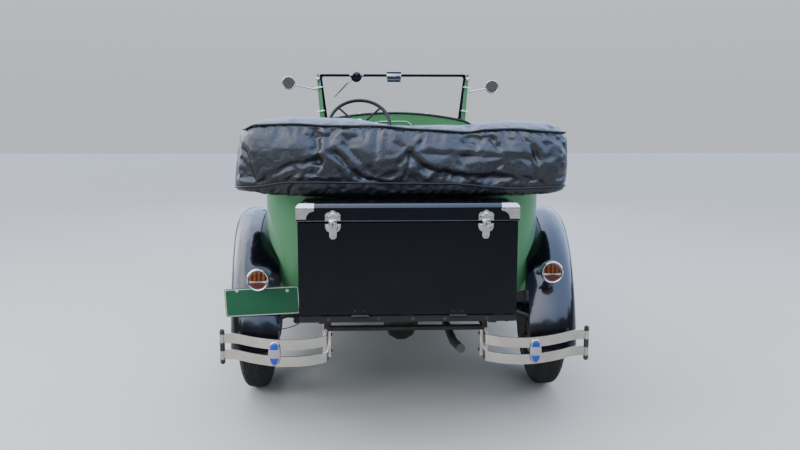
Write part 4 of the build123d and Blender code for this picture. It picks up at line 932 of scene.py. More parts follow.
@dataclass
class Paintwork(SubAssembly):
    """Finishes for the CAD pieces that keep their own shape."""

    finish_of: dict[str, Kit] = field(default_factory=lambda: {
        "paint_green": Kit.GREEN, "paint_black": Kit.BLACK, "chassis_black": Kit.CHASSIS, "nickel": Kit.NICKEL,
        "tyre": Kit.TYRE, "cast": Kit.IRON, "core": Kit.CORE, "glass": Kit.GLASS, "cover_vinyl": Kit.COVER,
        "seat_leather": Kit.LEATHER, "plate_green": Kit.PLATE, "wheel_black": Kit.WHEEL,
    })
    special: dict[str, Kit] = field(default_factory=lambda: {
        "headlamp_lenses": Kit.LENS, "trunk_body": Kit.TRUNK_BLACK, "trunk_lid": Kit.TRUNK_BLACK,
        "trunk_panel": Kit.TRUNK_BLACK, "mirrors": Kit.BRIGHT, "steering_wheel": Kit.RIM_RUBBER,
    })

    def build(self) -> None:
        """Gives every CAD node the finish of its slot, or its own."""
        for part in frame["record"]["subparts"]:
            node = part["node"]
            finish = self.special.get(node, self.finish_of[part["material_slot"]])
            for slot in frame["nodes"][node].material_slots:
                slot.material = self.shop.material(finish)
            LOG.info("%s painted %s", node, finish.name)


@dataclass
class FoldedTop(SubAssembly):
    """The folded top in its vinyl cover: crumpled cloth between two piped seams, in metres."""

    left: float = -0.727
    right: float = 0.694
    rear: float = -0.592
    front: float = -0.168
    stations: int = 90
    round_steps: int = 16
    end_radius: float = 0.075
    end_gap: float = 0.0012
    piping: float = 0.0050
    voxel: float = 0.0097
    reach: float = 0.026
    left_slope: float = 0.034
    seam_step: float = 0.020
    foot_step: float = 0.034
    crown_y: float = -0.40
    slack: float = 0.060
    settling: int = 18
    upper: Corners = ((-0.727, 1.300), (-0.647, 1.320), (-0.485, 1.325), (-0.318, 1.317), (-0.115, 1.316),
                      (0.059, 1.302), (0.263, 1.291), (0.339, 1.301), (0.441, 1.304), (0.684, 1.289))
    lower: Corners = ((-0.727, 1.060), (-0.640, 1.064), (-0.492, 1.082), (0.152, 1.075), (0.468, 1.054),
                      (0.686, 1.061))
    crown: Corners = ((-0.720, 1.296), (-0.679, 1.315), (-0.603, 1.336), (-0.506, 1.346), (-0.285, 1.339),
                      (0.0, 1.306), (0.206, 1.311), (0.341, 1.323), (0.458, 1.328), (0.630, 1.327), (0.694, 1.304))
    foot: Corners = ((-0.727, 1.050), (-0.660, 1.040), (-0.577, 1.027), (-0.440, 1.0195), (0.440, 1.0195),
                     (0.600, 1.026), (0.694, 1.045))
    lid_z: float = 1.0172
    swell: float = 0.004
    rear_swell: float = 0.012
    # the main folds of the rear face: x and z of the start, x and z of the end, rise, width
    folds: Sequence[Fold] = (
        (-0.047, 1.286, 0.096, 1.168, 0.013, 0.020), (0.096, 1.168, 0.231, 1.134, 0.015, 0.019),
        (0.231, 1.134, 0.521, 1.120, 0.011, 0.016), (0.077, 1.222, 0.249, 1.215, 0.010, 0.013),
        (0.249, 1.215, 0.509, 1.201, 0.011, 0.013), (0.267, 1.284, 0.373, 1.280, 0.006, 0.010),
        (0.373, 1.280, 0.407, 1.225, 0.009, 0.012), (-0.266, 1.211, -0.171, 1.120, 0.013, 0.018),
        (-0.171, 1.120, -0.057, 1.084, 0.010, 0.014), (-0.345, 1.300, -0.337, 1.178, 0.010, 0.020),
        (-0.152, 1.168, -0.038, 1.182, 0.009, 0.012), (-0.038, 1.182, 0.048, 1.253, 0.010, 0.013),
        (-0.028, 1.091, 0.005, 1.187, 0.007, 0.010), (-0.488, 1.178, -0.360, 1.201, 0.011, 0.015),
        (-0.360, 1.201, -0.276, 1.157, 0.010, 0.015), (-0.697, 1.281, -0.643, 1.215, 0.008, 0.013),
        (-0.643, 1.215, -0.626, 1.130, 0.010, 0.014), (0.507, 1.290, 0.567, 1.215, 0.010, 0.015),
        (0.567, 1.215, 0.588, 1.129, 0.010, 0.014), (-0.486, 1.080, -0.447, 1.102, 0.007, 0.010),
        (-0.447, 1.102, -0.286, 1.097, 0.008, 0.011), (0.519, 1.201, 0.589, 1.090, 0.008, 0.013),
        (-0.588, 1.130, -0.512, 1.168, 0.009, 0.013), (-0.094, 1.285, -0.104, 1.187, 0.008, 0.014),
    )

    def corners(self, x: float) -> list[Vector]:
        """The six corners of the cross-section at x, from the lower piping round to the bottom.

        Args:
            x: across the car, in metres.

        Returns:
            The corners.
        """
        inward = self.end_inset(x)
        rear, front = self.rear + inward, self.front - inward * 0.7
        crown = along(self.crown, x)
        points = ((rear, along(self.lower, x)), (rear + self.seam_step, along(self.upper, x)), (self.crown_y, crown),
                  (front - 0.05, crown - 0.010), (front, 1.12), (rear + self.foot_step, along(self.foot, x)))
        return [Vector((x + self.lean(x, z), REAR_AXLE.y + y, z)) for y, z in points]

    def lean(self, x: float, z: float) -> float:
        """How far the left end leans inward at x and height z."""
        return self.left_slope * blend_between(self.left + 0.16, self.left, x) * blend_between(1.08, 1.33, z)

    def end_inset(self, x: float) -> float:
        """How far the ends' rounding draws the section in at x.

        Args:
            x: across the car, in metres.

        Returns:
            The distance, 0 away from the ends.
        """
        gap = min(x - self.left, self.right - x)
        if gap >= self.end_radius:
            return 0.0
        reach = self.end_radius - max(gap, 0.0)
        return self.end_radius - sqrt(self.end_radius**2 - reach**2)

    def ring(self, x: float) -> list[Vector]:
        """The cross-section at x, its panels bowed out a little between the corners.

        Args:
            x: across the car, in metres.

        Returns:
            The section's points.
        """
        corners = self.corners(x)
        centre = sum(corners, Vector()) / len(corners)
        points = []
        for index, start in enumerate(corners):
            end = corners[(index + 1) % len(corners)]
            bow = 0.014 if index == 0 else 0.008
            for k in range(self.round_steps):
                share = k / self.round_steps
                point = start.lerp(end, share)
                points.append(point + (point - centre).normalized() * bow * sin(pi * share))
        return points

    def fold(self, point: Vector) -> float:
        """How far the vinyl stands out of its mean surface at a point before it is let go: slanting ridges.

        Args:
            point: a point of the mean surface.

        Returns:
            The height, in metres.
        """
        x, y, z = point
        slant = Vector((x * 3.4 + z * 5.2, y * 5.0, z * 7.0 - x * 3.1))
        ridge = 1 - abs(noise.noise(slant)) * 2
        cross = 1 - abs(noise.noise(Vector((x * 7.0 - z * 6.0 + 4.0, y * 8.0, z * 10.0 + x * 5.0)))) * 2
        crinkle = 1 - abs(noise.noise(Vector((x * 22, y * 24, z * 30)))) * 2
        behind = blend_between(self.rear + 0.10, self.rear + 0.05, y - REAR_AXLE.y)
        laid = behind * sum(self.crease(x, z, row) for row in self.folds) if behind else 0.0
        calm = blend_between(-0.015, 0.020, z - along(self.lower, x))
        loose = 0.007 * (ridge - 0.4) + 0.0045 * (cross - 0.4) + (0.0012 + 0.0016 * behind) * crinkle
        return laid + loose * (0.25 + 0.75 * calm)

    def crease(self, x: float, z: float, row: Fold) -> float:
        """How far one fold stands out at x and z: a sharp ridge with a hollow beside it, fading at its ends.

        Args:
            x: across the car.
            z: up.
            row: the fold's ends, rise and width.

        Returns:
            The height, in metres.
        """
        x0, z0, x1, z1, rise, width = row
        run, climb = x1 - x0, z1 - z0
        length = hypot(run, climb)
        share = ((x - x0) * run + (z - z0) * climb) / length**2
        off = ((z - z0) * run - (x - x0) * climb) / length
        past = max(-share, share - 1, 0.0) * length
        if past > 3 * width or abs(off) > 4 * width:
            return 0.0
        fade = blend_between(3 * width, 0.0, past)
        ridge = max(1 - abs(off) / (1.6 * width), 0.0) ** 1.5
        hollow = max(1 - abs(off + 1.7 * width) / (1.5 * width), 0.0)
        return 1.2 * rise * fade * (ridge - 0.75 * hollow)

    def seam_gap(self, point: Vector) -> float:
        """Distance from a point to the nearer line of piping, in metres.

        Args:
            point: a point near the cover.

        Returns:
            The distance.
        """
        x, y, z = point
        inset = self.end_inset(min(max(x, self.left), self.right))
        low = hypot(z - along(self.lower, x), y - (REAR_AXLE.y + self.rear + inset))
        high = hypot(z - along(self.upper, x), y - (REAR_AXLE.y + self.rear + inset + self.seam_step))
        return min(low, high)

    def build(self) -> None:
        """Makes the cover, lets it crumple and sews the piping on."""
        start_x = self.left + self.end_gap
        span = self.right - self.left - 2 * self.end_gap
        last = self.stations
        xs = [start_x + span * (0.3 * (0.5 - 0.5 * cos(pi * k / last)) + 0.7 * k / last) for k in range(last + 1)]
        rings = [self.ring(x) for x in xs]
        for end, direction in ((0, -1), (-1, 1)):
            base = rings[end]
            centre = sum(base, Vector()) / len(base)
            caps = [[centre.lerp(p, share) + Vector((direction * 0.004 * (1 - share), 0, 0)) for p in base]
                    for share in (0.9, 0.7, 0.5, 0.3, 0.1)]
            rings = caps[::-1] + rings if end == 0 else rings + caps
        cover = self.put(Shape().skin(rings), "top_cover_vinyl", Kit.COVER, crease=180)
        self.remesh(cover)
        start = [(vertex.co.copy(), vertex.normal.copy()) for vertex in cover.data.vertices]
        for vertex, (rest, normal) in zip(cover.data.vertices, start):
            vertex.co += normal * self.fold(rest) * blend_between(0.002, 0.030, self.seam_gap(rest))
        self.crumple(cover, start)
        smooth = cover.modifiers.new("softened", "SUBSURF")
        smooth.levels = smooth.render_levels = 1
        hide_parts("top_cover")
        self.seams()

    def remesh(self, cover: Piece) -> None:
        """Turns the rings into an even net, which folds alike in every direction.

        Args:
            cover: the cover's piece.
        """
        net = cover.modifiers.new("even_net", "REMESH")
        net.mode = "VOXEL"
        net.voxel_size = self.voxel
        bpy.context.view_layer.update()
        even = bpy.data.meshes.new_from_object(cover.evaluated_get(bpy.context.evaluated_depsgraph_get()))
        cover.modifiers.clear()
        cover.data = even
        cover.data.shade_smooth()

    def crumple(self, cover: Piece, start: Sequence[tuple[Vector, Vector]]) -> None:
        """Runs the vinyl as cloth that is cut a little too large for its seams, and keeps where it comes to rest.

        Args:
            cover: the cover's piece, already pushed into its main folds.
            start: its points and normals before those folds.
        """
        pins = cover.vertex_groups.new(name="sewn")
        for vertex, (rest, _) in zip(cover.data.vertices, start):
            hold = blend_between(0.014, 0.005, self.seam_gap(rest))
            under = blend_between(1.06, 1.03, rest.z) * 0.5
            ahead = blend_between(-0.30, -0.22, rest.y - REAR_AXLE.y) * 0.3
            pins.add([vertex.index], max(hold, under, ahead), "REPLACE")
        cloth = cover.modifiers.new("vinyl", "CLOTH")
        vinyl = cloth.settings
        vinyl.vertex_group_mass = "sewn"
        vinyl.quality = 5
        vinyl.mass = 0.4
        vinyl.tension_stiffness = vinyl.compression_stiffness = 25
        vinyl.shear_stiffness = 12
        vinyl.bending_stiffness = 0.35
        vinyl.shrink_min = vinyl.shrink_max = -self.slack
        vinyl.use_pressure = True
        vinyl.uniform_pressure_force = 0.6
        vinyl.effector_weights.gravity = 0
        cloth.collision_settings.use_collision = False
        scene = bpy.context.scene
        for step in range(1, self.settling + 1):
            scene.frame_set(step)
        settled = cover.evaluated_get(bpy.context.evaluated_depsgraph_get()).to_mesh()
        moved = [vertex.co.copy() for vertex in settled.vertices]
        cover.modifiers.clear()
        cover.vertex_groups.clear()
        for vertex, (rest, normal), there in zip(cover.data.vertices, start, moved):
            step_out = there - rest
            rear_face = normal.y < -0.6 and rest.z > along(self.lower, rest.x)
            limit = self.rear_swell if rear_face else self.swell
            step_out -= normal * max(step_out.dot(normal) - limit, 0.0) * 0.8
            if step_out.length > self.reach:
                step_out *= self.reach / step_out.length
            vertex.co = rest + step_out
            vertex.co.z = max(vertex.co.z, self.lid_z)
        cover.data.update()
        scene.frame_set(1)

    def seams(self) -> None:
        """The two lines of piping across the rear face."""
        shape = Shape()
        steps, margin = 160, 0.004
        for heights, set_in in ((self.upper, self.seam_step), (self.lower, 0.0)):
            path = []
            for k in range(steps + 1):
                x = self.left + margin + (self.right - self.left - 2 * margin) * k / steps
                z = along(heights, x)
                waver = 0.0015 * noise.noise(Vector((x * 14, set_in * 90, 3.0)))
                y = self.rear + self.end_inset(x) + set_in
                path.append(Vector((x + self.lean(x, z), REAR_AXLE.y + y - 0.002, z + waver)))
            shape.tube(path, self.piping, 8)
        self.put(shape, "top_cover_piping", Kit.PIPING)


@dataclass
class TrunkFittings(SubAssembly):
    """Latches, seam bead, corner rivets and hinge straps of the trunk, and its rack's bolts, in mm."""

    latch_xs: Sequence[float] = (-297, 307)
    face: float = -818
    seam_z: float = 946
    strap_xs: Sequence[float] = (-193, 201)
    strap_face: float = -819.5

    def build(self) -> None:
        """Makes each latch on the part it is screwed to, then the lid's and the rack's small parts."""
        for (side, _), x in zip(SIDES, self.latch_xs):
            self.latch(side, x)
        self.trim()
        self.straps()

    def latch(self, side: str, x: float) -> None:
        """A latch: domed shield above, hasp across the seam with its keyhole, tongue and rivets below.

        Args:
            side: left or right, for the names.
            x: the latch's middle.
        """
        face_y = self.face - 12
        shape = Shape()
        crest = scaled([(-24, 0), (24, 0), (26, 10), (20, 17), (12, 18), (6, 25), (0, 28), (-6, 25), (-12, 18),
                        (-20, 17), (-26, 10)])
        shape.plate(crest, mm(x, face_y, 956), ACROSS, UP, 0.0028, 0.0012)
        arch = [mm(x + 17 * cos(a), face_y - 3, 960 + 15 * sin(a)) for a in (pi * k / 12 for k in range(13))]
        shape.tube(arch, 0.0016, 8)
        knob = [(0.0075, 0), (0.0070, 0.0025), (0.0045, 0.0042), (0.0, 0.0048)]
        shape.turn(knob, mm(x, face_y - 1, 974), -AHEAD, 20)
        for out in (-18, 18):
            shape.rivet(mm(x + out, face_y - 2, 966), -AHEAD, 0.0022, 0.0016)
        hasp = scaled([(-15, -36), (15, -36), (17, -22), (17, -4), (13, 3), (-13, 3), (-17, -4), (-17, -22)])
        shape.plate(hasp, mm(x, face_y - 2, 951), ACROSS, UP, 0.0050, 0.0016)
        shape.tube(upright_ring(x, face_y - 7, 933, 10.5, 24), 0.0013, 8, looped=True)
        shape.tube([mm(x - 15, face_y - 3, 955), mm(x + 15, face_y - 3, 955)], 0.0026, 10)
        self.put(shape, f"latch_{side}_hasp", Kit.BRIGHT)
        hole = Shape()
        hole.turn([(0.0034, 0), (0.0034, 0.0006), (0.0030, 0.0008)], mm(x, face_y - 7, 935), -AHEAD, 18)
        slot = scaled([(-1.3, -8), (1.3, -8), (2.0, 0), (-2.0, 0)])
        hole.plate(slot, mm(x - 0.5, face_y - 7, 935), ACROSS, UP, 0.0007)
        self.put(hole, f"latch_{side}_keyhole", Kit.DARK_STEEL)
        low = Shape()
        tongue = scaled([(-9, -27), (-5, -31), (5, -31), (9, -27), (11, -8), (20, 0), (26, 14), (26, 24), (-26, 24),
                         (-26, 14), (-20, 0), (-11, -8)])
        low.plate(tongue, mm(x, self.face - 8, 908), ACROSS, UP, 0.0030, 0.0012)
        low.turn([(0.0062, 0), (0.0058, 0.002), (0.0, 0.0034)], mm(x, self.face - 11, 884), -AHEAD, 20)
        for out in (-20, 20):
            low.rivet(mm(x + out, self.face - 11, 925), -AHEAD, 0.0022, 0.0016)
        self.put(low, f"latch_{side}_tongue", Kit.BRIGHT, body="trunk_panel")

    def trim(self) -> None:
        """The bead along the lid's lower edge, the caps' rivets and one small screw."""
        half, back, ahead = 441, self.face, -460
        turns = [pi / 2 * k / 4 for k in range(5)]
        path = [(-half - 1, ahead), (-half - 1, back + 3)]
        path += [(-half + 3 - 4 * cos(a), back + 3 - 4 * sin(a)) for a in turns[1:]]
        path += [(half - 3 + 4 * sin(a), back + 3 - 4 * cos(a)) for a in turns]
        path = [mm(x, y, self.seam_z) for x, y in (*path, (half + 1, ahead))]
        self.put(Shape().tube(path, 0.0022, 8), "lid_bead", Kit.DARK_STEEL)
        rivets = Shape()
        for side in (-1, 1):
            for out, z in ((425, 964), (425, 988), (392, 994)):
                rivets.rivet(mm(side * out, self.face - 1.5, z), -AHEAD, 0.0026, 0.0018)
            for ahead_of, z in ((-800, 964), (-780, 995)):
                rivets.rivet(mm(side * 442.5, ahead_of, z), ACROSS * side, 0.0026, 0.0018)
            rivets.rivet(mm(side * 405, -795, 1015.5), UP, 0.0026, 0.0018)
        rivets.rivet(mm(372, self.face + 0.5, 991), -AHEAD, 0.0034, 0.002)
        self.put(rivets, "lid_rivets", Kit.BRIGHT)

    def straps(self) -> None:
        """The hinge straps at the fall-front's foot, each with two bolts, and the bolts of the rack."""
        outline = scaled([(-36, -6), (36, -6), (30, 9), (27, 20), (-27, 20), (-30, 9)])
        for (side, _), x in zip(SIDES, self.strap_xs):
            strap = Shape()
            strap.plate(outline, mm(x, self.strap_face, 570), ACROSS, UP, 0.0025, 0.001)
            for out in (-18, 18):
                strap.bolt(mm(x + out, -822, 580), -AHEAD, 0.0042, 0.003)
            self.put(strap, f"trunk_strap_{side}", Kit.TRUNK_BLACK, body="trunk_panel")
        feet = Shape()
        for x in (-320, -120, 20, 150, 320):
            feet.bolt(mm(x, -806, 546), -AHEAD, 0.0045, 0.004)
        self.put(feet, "rack_bolts", Kit.DARK_STEEL)


@dataclass
class TailLamps(SubAssembly):
    """Bezels, lenses and brackets of the two tail lamps, at places in mm."""

    places: Sequence[tuple[str, float, float, float]] = (("left", -631, -601, 666), ("right", 633, -596, 690))

    def lens_outline(self, upper: bool) -> list[tuple[float, float]]:
        """Half of the round window, as corners: the arched upper one or the smaller lower one.

        Args:
            upper: the upper glass rather than the lower.

        Returns:
            The corners, in metres.
        """
        if upper:
            rim = [(37.5 * cos(a), 37.5 * sin(a)) for a in (radians(-3 + 186 * k / 24) for k in range(25))]
            edge = [(-36 + 72 * k / 12, -2 - 4 * sin(pi * k / 12)) for k in range(1, 12)]
        else:
            rim = [(37 * cos(a), 37 * sin(a)) for a in (radians(200 + 140 * k / 20) for k in range(21))]
            edge = [(31 - 62 * k / 12, -13.5 + 3.5 * sin(pi * k / 12)) for k in range(1, 12)]
        return scaled(rim + edge)

    def build(self) -> None:
        """Makes each lamp's bezel, its two glasses and its bracket."""
        for side, x, ahead, z in self.places:
            centre = mm(x, ahead, z)
            bezel = Shape()
            bezel.turn([(0.0470, -0.020), (0.0488, -0.012), (0.0492, 0.000), (0.0482, 0.0050), (0.0450, 0.0078),
                        (0.0415, 0.0072), (0.0392, 0.0040), (0.0388, 0.0010), (0.0, 0.0014)], centre, -AHEAD, 56)
            bezel.rivet(centre + Vector((0, 0.010, -0.0492)), -UP, 0.0030, 0.0030)
            self.put(bezel, f"tail_bezel_{side}", Kit.BRIGHT, crease=50)
            for name, upper, finish in (("stop", True, Kit.AMBER), ("tail", False, Kit.RED)):
                lens = Shape()
                lens.plate(self.lens_outline(upper), centre - AHEAD * 0.0012, ACROSS, UP, 0.0062, 0.0032)
                self.put(lens, f"{name}_lens_{side}", finish, crease=50)
            bracket = Shape()
            inner = 1 if x < 0 else -1
            bracket.turn([(0.011, 0), (0.011, 0.010), (0.007, 0.014)], mm(x + inner * 46, ahead + 30, z - 6),
                         ACROSS * inner, 18)
            bracket.bolt(mm(x + inner * 59, ahead + 30, z - 6), ACROSS * inner, 0.006, 0.006)
            self.put(bracket, f"tail_bracket_{side}", Kit.DARK_STEEL)


@dataclass
class NumberPlate(SubAssembly):
    """The blank plate's raised white rim, bolts and corner holes, in mm."""

    centre: tuple[float, float, float] = (-624, -538.2, 557)
    tilt: float = 2.5

    def spot(self, right: float, up: float, out: float = 0.0) -> Vector:
        """A point on the plate's tilted face, in mm from its centre."""
        (x, ahead, z), turn = self.centre, radians(self.tilt)
        return mm(x + right * cos(turn) - up * sin(turn), ahead - out, z + right * sin(turn) + up * cos(turn))

    def build(self) -> None:
        """Makes the rim, the bolts and the holes."""
        path = []
        for cx, cz, start in ((149, 49.5, 0), (-149, 49.5, 90), (-149, -49.5, 180), (149, -49.5, 270)):
            for k in range(7):
                a = radians(start + 15 * k)
                path.append(self.spot(cx + 8.5 * cos(a), cz + 8.5 * sin(a), 0.1))
        self.put(Shape().tube(path, 0.0013, 8, looped=True), "plate_rim", Kit.WHITE)
        bolts = Shape()
        for side in (-1, 1):
            bolts.bolt(mm(self.centre[0] + side * 109, self.centre[1], 606), -AHEAD, 0.0052, 0.0042)
        self.put(bolts, "plate_bolts", Kit.BRIGHT)
        holes = Shape()
        for right, up in ((-152, 51), (152, 51), (-152, -51), (152, -51)):
            holes.tube([self.spot(right - 3, up, 0.2), self.spot(right + 3, up, 0.2)], 0.0026, 8)
        self.put(holes, "plate_holes", Kit.DARK_STEEL)


@dataclass
class QuarterBumpers(SubAssembly):
    """Medallions, end pins and bolts of the rear bumpers, in mm."""

    medallions: Sequence[tuple[str, float]] = (("left", -552), ("right", 541))
    middle_z: float = 378.5
    face: float = -722
    pin_x: float = 788
    pin_y: float = -610

    def oval(self, half_x: float, half_z: float, low: float, high: float,
             steps: int = 20) -> list[tuple[float, float]]:
        """The part of an ellipse between two heights, as corners counter-clockwise.

        Args:
            half_x: the ellipse's half width.
            half_z: its half height.
            low: the lower cut.
            high: the upper cut.
            steps: steps up each flank.

        Returns:
            The corners, in metres.
        """
        start, end = (asin(min(max(v / half_z, -1), 1)) for v in (low, high))
        angles = (start + (end - start) * k / steps for k in range(steps + 1))
        right = [(half_x * cos(a), half_z * sin(a)) for a in angles]
        left = [(-x, z) for x, z in reversed(right) if abs(x) > 0.2]
        return scaled(right + left)

    def build(self) -> None:
        """Makes each side's medallion, end pin and bolts."""
        for side, x in self.medallions:
            clamp = Shape()
            whole = self.oval(25, 53, -53, 53, 36)
            clamp.plate(whole, mm(x, self.face + 1, self.middle_z), ACROSS, UP, 0.0060, 0.0045)
            self.put(clamp, f"medallion_{side}", Kit.BRIGHT, crease=50)
            enamel = Shape()
            for low, high in ((18, 46), (-46, -18)):
                enamel.plate(self.oval(19.5, 46, low, high), mm(x, self.face - 3.5, self.middle_z), ACROSS, UP,
                             0.0032, 0.0014)
            self.put(enamel, f"medallion_enamel_{side}", Kit.BLUE, crease=50)
        for side_name, side in SIDES:
            ends = Shape()
            x, y = side * self.pin_x, self.pin_y
            ends.bolt(mm(x, y, 446), UP, 0.0085, 0.009)
            ends.bolt(mm(x, y, 311), -UP, 0.0085, 0.009)
            for foot, head in ((309, 322), (360, 395), (433, 448)):
                ends.tube([mm(x, y, foot), mm(x, y, head)], 0.0108, 18)
            for z in (342, 415):
                ends.bolt(mm(side * 326, -567, z), -ACROSS * side, 0.0065, 0.006)
            self.put(ends, f"bumper_bolts_{side_name}", Kit.DARK_STEEL)
            lugs = Shape()
            for z in (330, 352, 402, 426):
                lugs.bolt(mm(side * 350, -574, z), -AHEAD, 0.0058, 0.005)
            self.put(lugs, f"bumper_lugs_{side_name}", Kit.NICKEL)


@dataclass
class Windscreen(SubAssembly):
    """Wiper, inner mirror, clamps, clips and the round mirrors' rims, in mm."""

    plane: float = 1478
    wiper_x: float = -250
    mirrors: Sequence[tuple[str, float, float]] = (("left", -713, 1605), ("right", 683, 1582))

    def build(self) -> None:
        """Makes the screen's fittings from the top rail down."""
        self.wiper()
        self.inner_mirror()
        self.clamps()
        self.round_mirrors()

    def at(self, x: float, back: float, z: float) -> Vector:
        """A point behind the screen's plane."""
        return mm(x, self.plane - back, z)

    def wiper(self) -> None:
        """The motor on the top rail, its arm and the blade that rests across the glass."""
        motor = Shape()
        x = self.wiper_x
        motor.turn([(0.030, 0), (0.034, 0.006), (0.034, 0.022), (0.028, 0.032), (0.0, 0.036)],
                   self.at(x, 12, 1652), -AHEAD, 28)
        motor.slab(self.at(x - 32, 34, 1650), self.at(x + 32, 12, 1672), 0.004)
        self.put(motor, "wiper_motor", Kit.BLACK)
        tips = Shape()
        for side in (-1, 1):
            tips.turn([(0.005, 0), (0.005, 0.010), (0.003, 0.014)], self.at(x + side * 34, 24, 1660),
                      ACROSS * side, 14)
        tips.turn([(0.006, 0), (0.006, 0.008), (0.0, 0.010)], self.at(x, 22, 1674), UP, 16)
        self.put(tips, "wiper_pipe_ends", Kit.BRIGHT)
        arm = Shape()
        arm.tube([self.at(-262, -14, 1646), self.at(-292, -16, 1620), self.at(-372, -14, 1545)],
                 0.0026, 8, flat=0.6)
        arm.tube([self.at(-312, -10, 1614), self.at(-404, -9, 1512)], 0.0036, 8, flat=0.5)
        self.put(arm, "wiper_arm", Kit.DARK_STEEL)

    def inner_mirror(self) -> None:
        """The oblong mirror that hangs from the middle of the top rail."""
        shell = Shape()
        shell.slab(self.at(-43, 52, 1612), self.at(55, 42, 1668), 0.003)
        shell.tube([self.at(6, back, z) for back, z in ((44, 1652), (26, 1664), (8, 1662))], 0.004, 10)
        self.put(shell, "inner_mirror_frame", Kit.BRIGHT)
        face = Shape()
        face.slab(self.at(-38, 53.2, 1617), self.at(50, 51.5, 1663), 0.0006)
        self.put(face, "inner_mirror_face", Kit.MIRROR)

    def clamps(self) -> None:
        """The levers and knobs that hold the screen in its posts, and the clips at its foot."""
        for side_name, side in SIDES:
            clamp = Shape()
            clamp.turn([(0.013, 0), (0.015, 0.006), (0.013, 0.014), (0.0, 0.017)],
                       self.at(side * 514, 16, 1632), -AHEAD, 20)
            for z, x in ((1578, 500), (1418, 486)):
                clamp.turn([(0.008, 0), (0.008, 0.012), (0.005, 0.014)], self.at(side * x, 14, z), -AHEAD, 16)
                clamp.tube([self.at(side * (x - 16), 30, z + 2), self.at(side * x, 31, z),
                            self.at(side * (x + 40), 26, z - 5)], 0.0052, 10, flat=0.55)
            self.put(clamp, f"screen_clamps_{side_name}", Kit.BRIGHT)
        clips = Shape()
        for x in (-230, 232):
            clips.slab(self.at(x - 8, 26, 1372), self.at(x + 8, 12, 1404), 0.003)
        self.put(clips, "screen_clips", Kit.BRIGHT)

    def round_mirrors(self) -> None:
        """The rim of each outside mirror."""
        for side_name, x, z in self.mirrors:
            rim = Shape()
            rim.turn([(0.0440, -0.015), (0.0468, -0.012), (0.0472, -0.002), (0.0455, 0.0025), (0.0425, 0.0030),
                      (0.0405, 0.0010), (0.0405, -0.0010)], self.at(x, 37, z), -AHEAD, 48, looped=True)
            self.put(rim, f"mirror_rim_{side_name}", Kit.BRIGHT)


